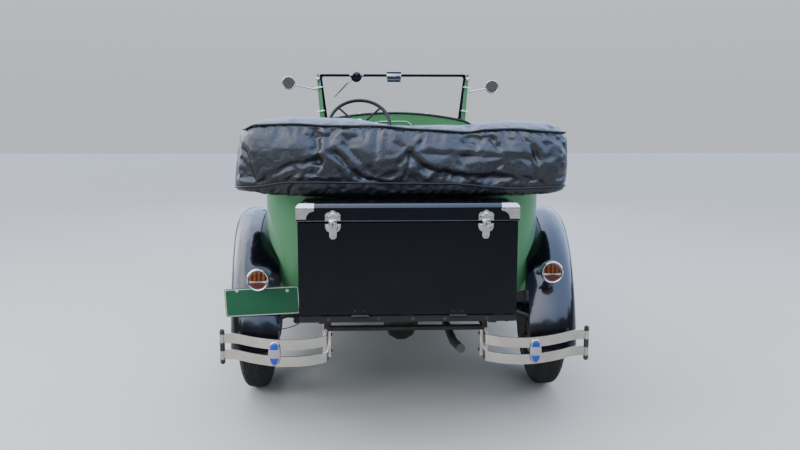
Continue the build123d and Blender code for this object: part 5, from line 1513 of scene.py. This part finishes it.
@dataclass
class Cockpit(SubAssembly):
    """What the driver handles and reads: dials, levers, pedals, mats and the cowl's dark edge, in mm."""

    dash: float = 1430
    dial_z: float = 1285
    dial_places: Corners = ((0, 31), (-72, 24), (72, 24))
    hub: Place = (-225, 1050, 1322)
    column_lean: float = 36
    rib_pitch: int = 26

    def build(self) -> None:
        """Makes the dash, the controls and the floor coverings."""
        self.cowl_edge()
        self.dials()
        self.levers()
        self.pedals()
        self.mats()

    def cowl_edge(self) -> None:
        """The padded black band along the cowl's rear edge: crown and round shoulders, as part.py has them."""
        crown = [(2250 * sin(a), 2250 * cos(a) - 845) for a in (0.212 * k / 12 for k in range(-12, 13))]
        shoulder = [(442 + 150 * sin(a), 1208 + 150 * cos(a)) for a in (0.32 + 1.1 * k / 8 for k in range(9))]
        outline = [(-x, z) for x, z in reversed(shoulder)] + crown + shoulder
        band = Shape().tube([mm(x, self.dash + 2, z - 2) for x, z in outline], 0.0085, 12)
        self.put(band, "cowl_edge_roll", Kit.PIPING)

    def dials(self) -> None:
        """The instrument cluster: bright oval, three dials with marks and hands, and the switch below."""
        face_y = self.dash - 20.2
        oval = Shape()
        path = []
        for centre, start in ((75, -90), (-75, 90)):
            path += [mm(centre + 60 * cos(a), face_y, self.dial_z + 60 * sin(a))
                     for a in (radians(start + 12 * k) for k in range(16))]
        oval.tube(path, 0.004, 10, looped=True)
        for x, radius in self.dial_places:
            oval.tube(upright_ring(x, face_y - 1, self.dial_z, radius, 32), 0.0026, 8, looped=True)
        oval.turn([(0.009, 0), (0.009, 0.010), (0.006, 0.014), (0.0, 0.015)], mm(0, face_y, 1238), -AHEAD, 18)
        self.put(oval, "dial_rims", Kit.BRIGHT)
        faces = Shape()
        for x, radius in self.dial_places:
            inside = (radius - 1) * MM
            faces.turn([(inside, 0), (inside, 0.0008), (0.0, 0.0010)], mm(x, face_y + 0.4, self.dial_z), -AHEAD, 32)
        self.put(faces, "dial_faces", Kit.DIAL)
        marks = Shape()
        for x, radius in self.dial_places:
            outer = radius - 5
            for k in range(9):
                a = radians(-30 + 30 * k)
                marks.tube([mm(x + r * cos(a), face_y - 0.7, self.dial_z + r * sin(a)) for r in (outer - 4, outer)],
                           0.0006, 6)
            a = radians(130)
            marks.tube([mm(x + r * cos(a), face_y - 1.2, self.dial_z + r * sin(a)) for r in (0, outer * 0.8)],
                       0.0009, 6)
        self.put(marks, "dial_marks", Kit.DARK_STEEL)

    def levers(self) -> None:
        """Gear lever, handbrake, the two small levers under the steering wheel and its horn button."""
        sticks = Shape()
        sticks.tube([mm(0, 1640, 560), mm(0, 1560, 700), mm(-4, 1470, 830), mm(-10, 1395, 960)], 0.007, 12)
        sticks.tube([mm(70, 1600, 570), mm(72, 1530, 720), mm(74, 1460, 860)], 0.008, 10, flat=0.5)
        self.put(sticks, "floor_levers", Kit.DARK_STEEL)
        grips = Shape()
        grips.turn([(0.006, -0.004), (0.016, 0.004), (0.021, 0.018), (0.017, 0.032), (0.0, 0.038)],
                   mm(-10, 1396, 958), Vector((-0.03, -0.45, 0.9)), 22)
        grips.turn([(0.007, 0), (0.011, 0.006), (0.011, 0.060), (0.0, 0.066)], mm(74, 1462, 856),
                   Vector((0.01, -0.42, 0.9)), 16)
        self.put(grips, "lever_grips", Kit.MAT)
        lean = radians(self.column_lean)
        column = Vector((0, cos(lean), -sin(lean)))
        lift = Vector((0, sin(lean), cos(lean)))
        hub = mm(*self.hub) + column * 0.055
        quadrant = Shape()
        for side in (-1, 1):
            path = [hub + ACROSS * side * out + lift * rise for out, rise in ((0, 0), (0.060, 0.020), (0.105, 0.052))]
            quadrant.tube(path, 0.0036, 8)
            quadrant.turn([(0.006, -0.006), (0.009, 0.0), (0.006, 0.008)],
                          hub + ACROSS * side * 0.107 + lift * 0.054, ACROSS * side, 16)
        quadrant.turn([(0.030, 0), (0.034, 0.006), (0.030, 0.014), (0.022, 0.018)], hub - column * 0.004, column, 24)
        self.put(quadrant, "column_levers", Kit.BRIGHT)
        horn = Shape()
        horn.turn([(0.026, 0), (0.024, 0.007), (0.016, 0.011), (0.0, 0.013)], mm(*self.hub) - column * 0.026,
                  -column, 28)
        self.put(horn, "horn_button", Kit.BRIGHT, body="steering_wheel")

    def pedals(self) -> None:
        """Clutch and brake pads on their arms, and the accelerator's button."""
        pads = Shape()
        square = scaled([(-34, -26), (34, -26), (36, 0), (34, 26), (-34, 26), (-36, 0)])
        toe = Vector((0, 0.72, 0.69)).normalized()
        for x in (-285, -165):
            pads.tube([mm(x, 1700, 600), mm(x, 1650, 690), mm(x, 1612, 750)], 0.007, 10, flat=0.6)
            pads.plate(square, mm(x, 1612, 748), ACROSS, toe, 0.010, 0.003)
            for k in range(5):
                low = mm(x - 28, 1612, 748) + toe * (0.009 * (k - 2)) + ACROSS.cross(toe) * 0.0105
                pads.tube([low, low + ACROSS * 0.056], 0.0018, 6)
        pads.turn([(0.016, 0), (0.018, 0.006), (0.014, 0.012), (0.0, 0.014)], mm(-85, 1690, 690),
                  Vector((0, -0.7, 0.7)), 20)
        self.put(pads, "pedals", Kit.DARK_STEEL)

    def mats(self) -> None:
        """Ribbed rubber mats on the front and rear floors."""
        for name, low_y, high_y, half in (("front", 1095, 1555, 540), ("rear", 205, 645, 560)):
            mat = Shape()
            mat.slab(mm(-half, low_y, 574.5), mm(half, high_y, 579), 0.0015)
            for x in range(-half + 30, half - 20, self.rib_pitch):
                mat.tube([mm(x, low_y + 20, 579.2), mm(x, high_y - 20, 579.2)], 0.0024, 6)
            self.put(mat, f"floor_mat_{name}", Kit.MAT)


@dataclass
class Seats(SubAssembly):
    """Both bench seats in pleated leather: their places in mm, their half width in metres."""

    places: Sequence[tuple[str, float]] = (("front_seat", 650), ("rear_seat", -280))
    cushion_top: Corners = ((120, 874), (220, 878), (320, 879), (400, 876), (450, 868), (480, 846), (490, 800),
                            (484, 745), (470, 716))
    back_outline: Corners = ((96, 800), (98, 850), (88, 900), (76, 950), (60, 1000), (44, 1050), (26, 1082),
                             (2, 1099), (-34, 1101), (-62, 1092), (-76, 1060), (-66, 980), (-44, 880), (-26, 790),
                             (20, 776), (80, 778))
    rolls: int = 16
    pleat_depth: float = 11
    half: float = 0.553

    def build(self) -> None:
        """Makes cushion and back of each seat as one padded form that stands in for its solid."""
        for node, rear in self.places:
            for piece in (self.cushion(node, rear), self.back(node, rear)):
                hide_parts(node)
            self.welts(node, rear)

    def limit(self, x: float, node: str) -> float:
        """How far the body's round rear corners push the rear seat forward at x, in mm.

        Args:
            x: across the car, in metres.
            node: which seat.

        Returns:
            The push, in mm.
        """
        if node == "front_seat":
            return 0.0
        reach = max(abs(x) - 0.385, 0.0) / 0.200
        return 190 * (1 - sqrt(max(1 - min(reach, 1.0) ** 2, 0.0)))

    def pleat(self, x: float) -> float:
        """How far the leather dips at x, in mm: full rolls with sharp grooves between them.

        Args:
            x: across the car, in metres.

        Returns:
            The dip.
        """
        if abs(x) > self.half - 0.035:
            return 0.0
        phase = (x / (2 * self.half) * self.rolls) % 1.0
        return self.pleat_depth * (1 - sqrt(max(1 - (2 * phase - 1) ** 2, 0.0)))

    def columns(self) -> list[float]:
        """Places across the seat, closer together at each groove."""
        step = 2 * self.half / (self.rolls * 12)
        return [-self.half + step * k for k in range(self.rolls * 12 + 1)]

    def draw_in(self, x: float) -> float:
        """How much the padding thins towards the seat's ends, from 1 to 0."""
        gap = self.half - abs(x)
        return 1.0 if gap > 0.045 else sqrt(max(1 - (1 - gap / 0.045) ** 2, 0.0))

    def cushion(self, node: str, rear: float) -> Piece:
        """The seat cushion: crowned top with pleats from front to back, a rolled front edge.

        Args:
            node: which seat.
            rear: its back edge, in mm.

        Returns:
            The cushion's piece.
        """
        rings = []
        middle_y, middle_z = rear + 250, 780
        for x in self.columns():
            swell = self.draw_in(x)
            start = rear + max(6.0, self.limit(x, node) + 4)
            outline = [(start, 716), (start, 840), (start + 30, 866), *((rear + y, z) for y, z in self.cushion_top)]
            ring = []
            for index, (y, z) in enumerate(outline):
                dip = self.pleat(x) if 2 <= index <= 8 else 0.0
                ring.append(mm(x / MM, middle_y + (y - middle_y) * (0.97 + 0.03 * swell),
                               middle_z + (z - middle_z - dip) * (0.80 + 0.20 * swell)))
            rings.append(ring)
        piece = self.put(Shape().skin(rings), f"{node}_cushion_leather", Kit.LEATHER, crease=180)
        self.soften(piece)
        return piece

    def back(self, node: str, rear: float) -> Piece:
        """The seat back: pleats from top to bottom and a rolled top edge.

        Args:
            node: which seat.
            rear: its back edge, in mm.

        Returns:
            The back's piece.
        """
        rings = []
        middle_z = 940
        for x in self.columns():
            swell = self.draw_in(x)
            push = self.limit(x, node)
            ring = []
            for index, (y, z) in enumerate(self.back_outline):
                dip = self.pleat(x) if 1 <= index <= 8 else 0.0
                lean = push * (0.9 if index >= 8 else 0.45)
                y = min(rear + y - dip + lean, rear + 118)
                ring.append(mm(x / MM, y, middle_z + (z - middle_z) * (0.95 + 0.05 * swell)))
            rings.append(ring)
        piece = self.put(Shape().skin(rings), f"{node}_back_leather", Kit.LEATHER, crease=180)
        self.soften(piece)
        return piece

    def soften(self, piece: Piece) -> None:
        """Lets the leather sag a little unevenly and rounds it off.

        Args:
            piece: a cushion or a back.
        """
        normals = [vertex.normal.copy() for vertex in piece.data.vertices]
        for vertex, normal in zip(piece.data.vertices, normals):
            x, y, z = vertex.co
            sag = noise.noise(Vector((x * 4, y * 6, z * 6)))
            wrinkle = 1 - abs(noise.noise(Vector((x * 30, y * 16, z * 16))))
            vertex.co += normal * (0.003 * sag - 0.002 * wrinkle)
        smooth = piece.modifiers.new("rounded", "SUBSURF")
        smooth.levels = smooth.render_levels = 1

    def welts(self, node: str, rear: float) -> None:
        """The piped edge along the top of the back and the front of the cushion.

        Args:
            node: which seat.
            rear: its back edge, in mm.
        """
        shape = Shape()
        top, nose = [], []
        steps, margin = 80, 0.03
        for k in range(steps + 1):
            x = (-self.half + margin) + (2 * self.half - 2 * margin) * k / steps
            top.append(mm(x / MM, rear - 36 + self.limit(x, node) * 0.9, 1102.5))
            nose.append(mm(x / MM, rear + 491, 792))
        shape.tube(top, 0.0036, 8)
        shape.tube(nose, 0.0036, 8)
        self.put(shape, f"{node}_welts", Kit.LEATHER)


@dataclass
class DoorTrims(SubAssembly):
    """Leather panels and handles inside the four doors, in mm."""

    doors: Sequence[tuple[str, float, float]] = (("rear", 140, 735), ("front", 800, 1355))
    wall: float = 38.0
    arch: float = 532.0

    def side_x(self, ahead: float) -> float:
        """Half width of the body's outside at a place ahead of the rear axle, in mm, as part.py has it.

        Args:
            ahead: the place.

        Returns:
            The half width.
        """
        (x1, y1), (x2, y2), (x3, y3) = (592, 1430), (655, 495), (628, -415)
        d = 2 * (x1 * (y2 - y3) + x2 * (y3 - y1) + x3 * (y1 - y2))
        a, b, c = x1**2 + y1**2, x2**2 + y2**2, x3**2 + y3**2
        ux = (a * (y2 - y3) + b * (y3 - y1) + c * (y1 - y2)) / d
        uy = (a * (x3 - x2) + b * (x1 - x3) + c * (x2 - x1)) / d
        return ux + sqrt((x1 - ux) ** 2 + (y1 - uy) ** 2 - (ahead - uy) ** 2)

    def foot_z(self, ahead: float) -> float:
        """Where the trim ends above the sill, or above the rear wheel's arch, in mm."""
        arch = 378 + sqrt(max(self.arch**2 - ahead**2, 0.0)) + 26
        return max(640.0, arch if ahead < self.arch else 0.0)

    def build(self) -> None:
        """Makes the trim of each door, which rides on it."""
        for row, rear, front in self.doors:
            for side_name, side in SIDES:
                self.trim(row, rear, front, side_name, side)

    def trim(self, row: str, rear: float, front: float, side_name: str, side: int) -> None:
        """One door's panel and its inner handle.

        Args:
            row: front or rear.
            rear: the door's rear edge.
            front: its front edge.
            side_name: left or right.
            side: -1 on the left, 1 on the right.
        """
        low_y, high_y = rear + (60 if row == "rear" else 34), front - 34
        rings = []
        for k in range(25):
            y = low_y + (high_y - low_y) * k / 24
            inner = self.side_x(y) - self.wall
            edge = 0.0 if 0 < k < 24 else 1.6
            foot = self.foot_z(y)
            rings.append([mm(side * (inner - depth), y, z) for depth, z in
                          ((-0.5, foot), (3.2 - edge, foot + 3), (4 - edge, foot + 30), (4 - edge, 1010),
                           (3.2 - edge, 1030), (-0.5, 1033))])
        body = f"door_{row}_{side_name}"
        self.put(Shape().skin(rings), f"{body}_trim", Kit.LEATHER, body=body)
        handle = Shape()
        y = low_y + 42
        inner = self.side_x(y) - self.wall - 4
        handle.turn([(0.016, 0), (0.016, 0.003), (0.009, 0.006), (0.009, 0.016)], mm(side * inner, y, 1020),
                    -ACROSS * side, 20)
        handle.tube([mm(side * (inner - 16), y, 1020), mm(side * (inner - 18), y + 40, 1016),
                     mm(side * (inner - 15), y + 88, 1012)], 0.0058, 10, flat=0.6)
        self.put(handle, f"{body}_inner_handle", Kit.NICKEL, body=body)


@dataclass
class Tyres(SubAssembly):
    """Narrow tyres with a ribbed tread and notched shoulders, in place of the plain CAD ones."""

    radius: float = 0.378
    half: float = 0.059
    notches: int = 58
    notch_depth: float = 0.0060

    def profile(self) -> list[tuple[float, float, float]]:
        """Radius, distance out and how much the notch cuts there, from one bead over the tread to the other.

        Returns:
            The points.
        """
        r, h = self.radius, self.half
        side = [(r - 0.1070, h - 0.0175, 0.0), (r - 0.1000, h - 0.0100, 0.0), (r - 0.0980, h - 0.0080, 0.0),
                (r - 0.0850, h - 0.0035, 0.0), (r - 0.0700, h - 0.0006, 0.0), (r - 0.0680, h, 0.0),
                (r - 0.0500, h + 0.0004, 0.0), (r - 0.0400, h - 0.0010, 0.0), (r - 0.0290, h - 0.0040, 0.0),
                (r - 0.0255, h - 0.0052, 0.2), (r - 0.0190, h - 0.0075, 1.0), (r - 0.0115, h - 0.0125, 1.0),
                (r - 0.0060, h - 0.0185, 1.0), (r - 0.0036, h - 0.0225, 0.6)]
        groove = 0.0050
        tread = []
        for middle_x in (0.0300, 0.0190, 0.0080):
            crown = r - 0.9 * middle_x**2 / (2 * 0.16)
            tread += [(crown - groove, middle_x + 0.0042, 0.0), (crown - groove, middle_x + 0.0034, 0.0),
                      (crown - 0.0006, middle_x + 0.0026, 0.0), (crown, middle_x, 0.0),
                      (crown - 0.0004, middle_x - 0.0036, 0.0), (crown - groove, middle_x - 0.0046, 0.0)]
        right = side + tread
        middle_rib = [(r, 0.0012, 0.0), (r, -0.0012, 0.0)]
        return right + middle_rib + [(a, -b, c) for a, b, c in reversed(right)]

    def build(self) -> None:
        """Makes one tyre for each wheel."""
        for place, centre, _ in wheel_places():
            self.tyre(place, centre)

    def tyre(self, place: str, centre: Vector) -> None:
        """One tyre: its profile turned with a notch cut into both shoulders at every other step.

        Args:
            place: the wheel's end and side.
            centre: its centre.
        """
        steps = self.notches * 4
        profile = self.profile()
        rings = []
        for k in range(steps):
            angle = 2 * pi * k / steps
            cut = 1.0 if k % 4 in (2, 3) else 0.0
            out = Vector((0, cos(angle), sin(angle)))
            ring = []
            for radius, x, notch in profile:
                deep = self.notch_depth * notch * cut
                ring.append(centre + out * (radius - deep) + ACROSS * (x - copysign(deep * 0.6, x)))
            rings.append(ring)
        tread = Shape().skin(rings, looped=True)
        tyre = self.put(tread, f"tyre_tread_{place}", Kit.TYRE, body=f"roll_{place}", crease=40)
        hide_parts(f"tyre_{place}")


@dataclass
class WheelTrims(SubAssembly):
    """Bright hub caps, wheel nuts and valve stems."""

    def build(self) -> None:
        """Trims each wheel."""
        for place, centre, side in wheel_places():
            self.trim(place, centre, ACROSS * side)

    def trim(self, place: str, centre: Vector, out: Vector) -> None:
        """One wheel's hub cap, its nuts and its valve.

        Args:
            place: the wheel's end and side.
            centre: its centre.
            out: the direction away from the car.
        """
        body = f"roll_{place}"
        cap = Shape()
        cap.turn([(0.0440, 0.062), (0.0445, 0.0645), (0.0400, 0.0665), (0.0375, 0.0715), (0.0370, 0.0800),
                  (0.0345, 0.0858), (0.0290, 0.0892), (0.0285, 0.0882), (0.0180, 0.0905), (0.0, 0.0915)],
                 centre, out, 44)
        self.put(cap, f"hub_cap_{place}", Kit.BRIGHT, body=body, crease=50)
        nuts = Shape()
        for k in range(5):
            a = 2 * pi * k / 5 + 0.3
            spot = centre + Vector((0, cos(a), sin(a))) * 0.051 + out * 0.0490
            nuts.bolt(spot, out, 0.0072, 0.011)
        self.put(nuts, f"wheel_nuts_{place}", Kit.DARK_STEEL, body=body)
        valve = Shape()
        down = Vector((0, sin(radians(24)), -cos(radians(24))))
        foot = centre + down * 0.2445
        valve.turn([(0.0062, 0), (0.0062, 0.004), (0.0036, 0.006), (0.0036, 0.026), (0.0044, 0.027), (0.0044, 0.034),
                    (0.0, 0.036)], foot, -down + out * 0.45, 14)
        self.put(valve, f"tyre_valve_{place}", Kit.NICKEL, body=body)


@dataclass
class Headlamps(SubAssembly):
    """Rims, reflectors, bulbs and nuts of the headlamps, in mm."""

    across: float = 400
    ahead: float = 2720
    height: float = 920
    post_ahead: float = 2640

    def build(self) -> None:
        """Dresses both lamps."""
        for side_name, side in SIDES:
            centre = mm(side * self.across, self.ahead, self.height)
            rim = Shape()
            rim.turn([(0.1185, -0.013), (0.1215, -0.010), (0.1225, -0.002), (0.1205, 0.006), (0.1150, 0.0095),
                      (0.1090, 0.0080), (0.1075, 0.0045), (0.1075, -0.0020)], centre, AHEAD, 64, looped=True)
            rim.slab(centre + Vector((-0.008, -0.008, -0.133)), centre + Vector((0.008, 0.006, -0.119)), 0.002)
            self.put(rim, f"headlamp_rim_{side_name}", Kit.BRIGHT, crease=50)
            bowl = Shape()
            bowl.turn([(0.0975, -0.0330), (0.0850, -0.0390), (0.0650, -0.0430), (0.0400, -0.0480), (0.0150, -0.0530),
                       (0.0, -0.0550)], centre, AHEAD, 48, capped=False)
            self.put(bowl, f"headlamp_reflector_{side_name}", Kit.MIRROR, crease=180)
            bulb = Shape()
            bulb.turn([(0.011, -0.058), (0.011, -0.046), (0.015, -0.038), (0.016, -0.030), (0.012, -0.022),
                       (0.0, -0.018)], centre + AHEAD * 0.002, AHEAD, 24)
            self.put(bulb, f"headlamp_bulb_{side_name}", Kit.GLASS, crease=180)
            nut = Shape()
            nut.turn([(0.020, 0), (0.022, 0.006), (0.014, 0.016), (0.014, 0.022)],
                     mm(side * self.across, self.post_ahead, 800), UP, 24)
            nut.bolt(mm(side * self.across, self.post_ahead, 752), -UP, 0.012, 0.012)
            self.put(nut, f"headlamp_nuts_{side_name}", Kit.NICKEL)


@dataclass
class FrontEnd(SubAssembly):
    """Radiator cap, bonnet catches and front bumper bolts, in mm."""

    catch_places: Corners = ((1900, 374), (2420, 300))
    bumper_ahead: float = 3275

    def build(self) -> None:
        """Dresses the nose."""
        cap = Shape()
        centre = mm(0, 2536, 1198)
        cap.turn([(0.0325, -0.004), (0.0345, 0.002), (0.0345, 0.010), (0.0310, 0.0165), (0.0200, 0.0195),
                  (0.0, 0.0205)], centre, UP, 40)
        for side in (-1, 1):
            cap.tube([centre + ACROSS * side * 0.028 + UP * 0.008, centre + ACROSS * side * 0.046 + UP * 0.012],
                     0.006, 12, flat=0.7)
        self.put(cap, "radiator_cap", Kit.BRIGHT, crease=50)
        for side_name, side in SIDES:
            catches = Shape()
            for ahead, x in self.catch_places:
                catches.slab(mm(side * x - 7, ahead - 11, 600), mm(side * x + 7, ahead + 11, 632), 0.003)
                catches.tube([mm(side * (x + 6), ahead, 618), mm(side * (x + 9), ahead, 650)], 0.0045, 10)
            self.put(catches, f"bonnet_catches_{side_name}", Kit.NICKEL)
        bolts = Shape()
        for side in (-1, 1):
            for z in (401, 470):
                bolts.rivet(mm(side * 330, self.bumper_ahead - 16, z), AHEAD, 0.010, 0.007)
            bolts.bolt(mm(side * 792, self.bumper_ahead - 101, 494), UP, 0.009, 0.009)
            bolts.bolt(mm(side * 792, self.bumper_ahead - 101, 372), -UP, 0.009, 0.009)
        self.put(bolts, "front_bumper_bolts", Kit.NICKEL)


@dataclass
class Steps(SubAssembly):
    """Bright edge strips and bolts of the running boards, in mm."""

    rear: float = 546
    front: float = 1646
    inner: float = 616
    top: float = 380.5

    def build(self) -> None:
        """Dresses each running board."""
        for side_name, side in SIDES:
            edging = Shape()
            edging.tube([mm(side * 851, 530, 377), mm(side * 851, 1662, 377)], 0.0050, 10)
            edging.tube([mm(side * self.inner, self.rear, self.top), mm(side * self.inner, self.front, self.top),
                         mm(side * 832, self.front, self.top), mm(side * 832, self.rear, self.top)],
                        0.0030, 8, looped=True)
            self.put(edging, f"step_edging_{side_name}", Kit.NICKEL)
            bolts = Shape()
            for k in range(6):
                bolts.rivet(mm(side * 840, 580 + k * 210, 380), UP, 0.0050, 0.0025)
            self.put(bolts, f"step_bolts_{side_name}", Kit.DARK_STEEL)


@dataclass
class Underside(SubAssembly):
    """Rivets along the rails, and the lamp's wire with its clip, in mm."""

    rail_x: float = 367
    wire_y: float = -490
    wire_route: Corners = ((-442, 510), (-443, 494), (-446, 478), (-455, 463), (-467, 450), (-481, 440), (-498, 433),
                           (-516, 428), (-534, 424), (-550, 423), (-562, 424))

    def build(self) -> None:
        """Dresses what shows from behind and below."""
        rivets = Shape()
        for side in (-1, 1):
            for k in range(14):
                for z in (535, 482):
                    rivets.rivet(mm(side * self.rail_x, -500 + k * 140, z), ACROSS * side, 0.0062, 0.0042)
        self.put(rivets, "frame_rivets", Kit.CHASSIS)
        last = len(self.wire_route) - 1
        path = [mm(x, self.wire_y - 15 * (k / last) ** 2, z) for k, (x, z) in enumerate(self.wire_route)]
        self.put(Shape().tube(path, 0.0022, 8), "lamp_wire", Kit.TYRE)
        sleeve = [(0.006, -0.004), (0.006, 0.006), (0.003, 0.010)]
        clip = Shape().turn(sleeve, mm(-561, self.wire_y - 15, 424), ACROSS, 14)
        self.put(clip, "lamp_wire_clip", Kit.DARK_STEEL)


@dataclass
class EdgeRounding(SubAssembly):
    """Small radii on the CAD pieces' sharp edges, in metres."""

    widths: dict[str, float] = field(default_factory=lambda: {
        "trunk_lid": 0.006, "trunk_panel": 0.002, "body_tub": 0.004, "cowl": 0.003, "door_front_left": 0.003,
        "door_front_right": 0.003, "door_rear_left": 0.003, "door_rear_right": 0.003, "rear_fenders": 0.0015,
        "front_fenders": 0.0015, "rear_bumpers": 0.0012, "front_bumper": 0.0012, "windscreen_frame": 0.003,
        "windscreen_posts": 0.003, "licence_plate": 0.0005, "hood_left": 0.001, "hood_right": 0.001,
        "instrument_panel": 0.003, "trunk_body": 0.001, "steering_wheel": 0.002, "trunk_lid_fittings": 0.0006,
        "trunk_panel_fittings": 0.0006, "running_boards": 0.0012,
    })

    def build(self) -> None:
        """Rounds off what the CAD leaves sharp, by bevels that keep every outline."""
        for node, width in self.widths.items():
            piece = frame["nodes"][node]
            edge = piece.modifiers.new("rounded_edges", "BEVEL")
            edge.width = width
            edge.segments = 2
            edge.limit_method = "ANGLE"
            edge.angle_limit = radians(40)
            edge.harden_normals = True


def main() -> None:
    """Builds the car's dress, piece by piece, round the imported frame."""
    logging.basicConfig(level=logging.INFO, format="%(relativeCreated)7d %(name)s: %(message)s")
    shop = FinishShop()
    Studio().build()
    for maker in (Paintwork, FoldedTop, TrunkFittings, TailLamps, NumberPlate, QuarterBumpers,
                  Windscreen, Cockpit, Seats, DoorTrims, Tyres, WheelTrims, Headlamps, FrontEnd, Steps, Underside,
                  EdgeRounding):
        LOG.info("building %s", maker.__name__)
        maker(shop).build()


if __name__ == "__main__":
    main()
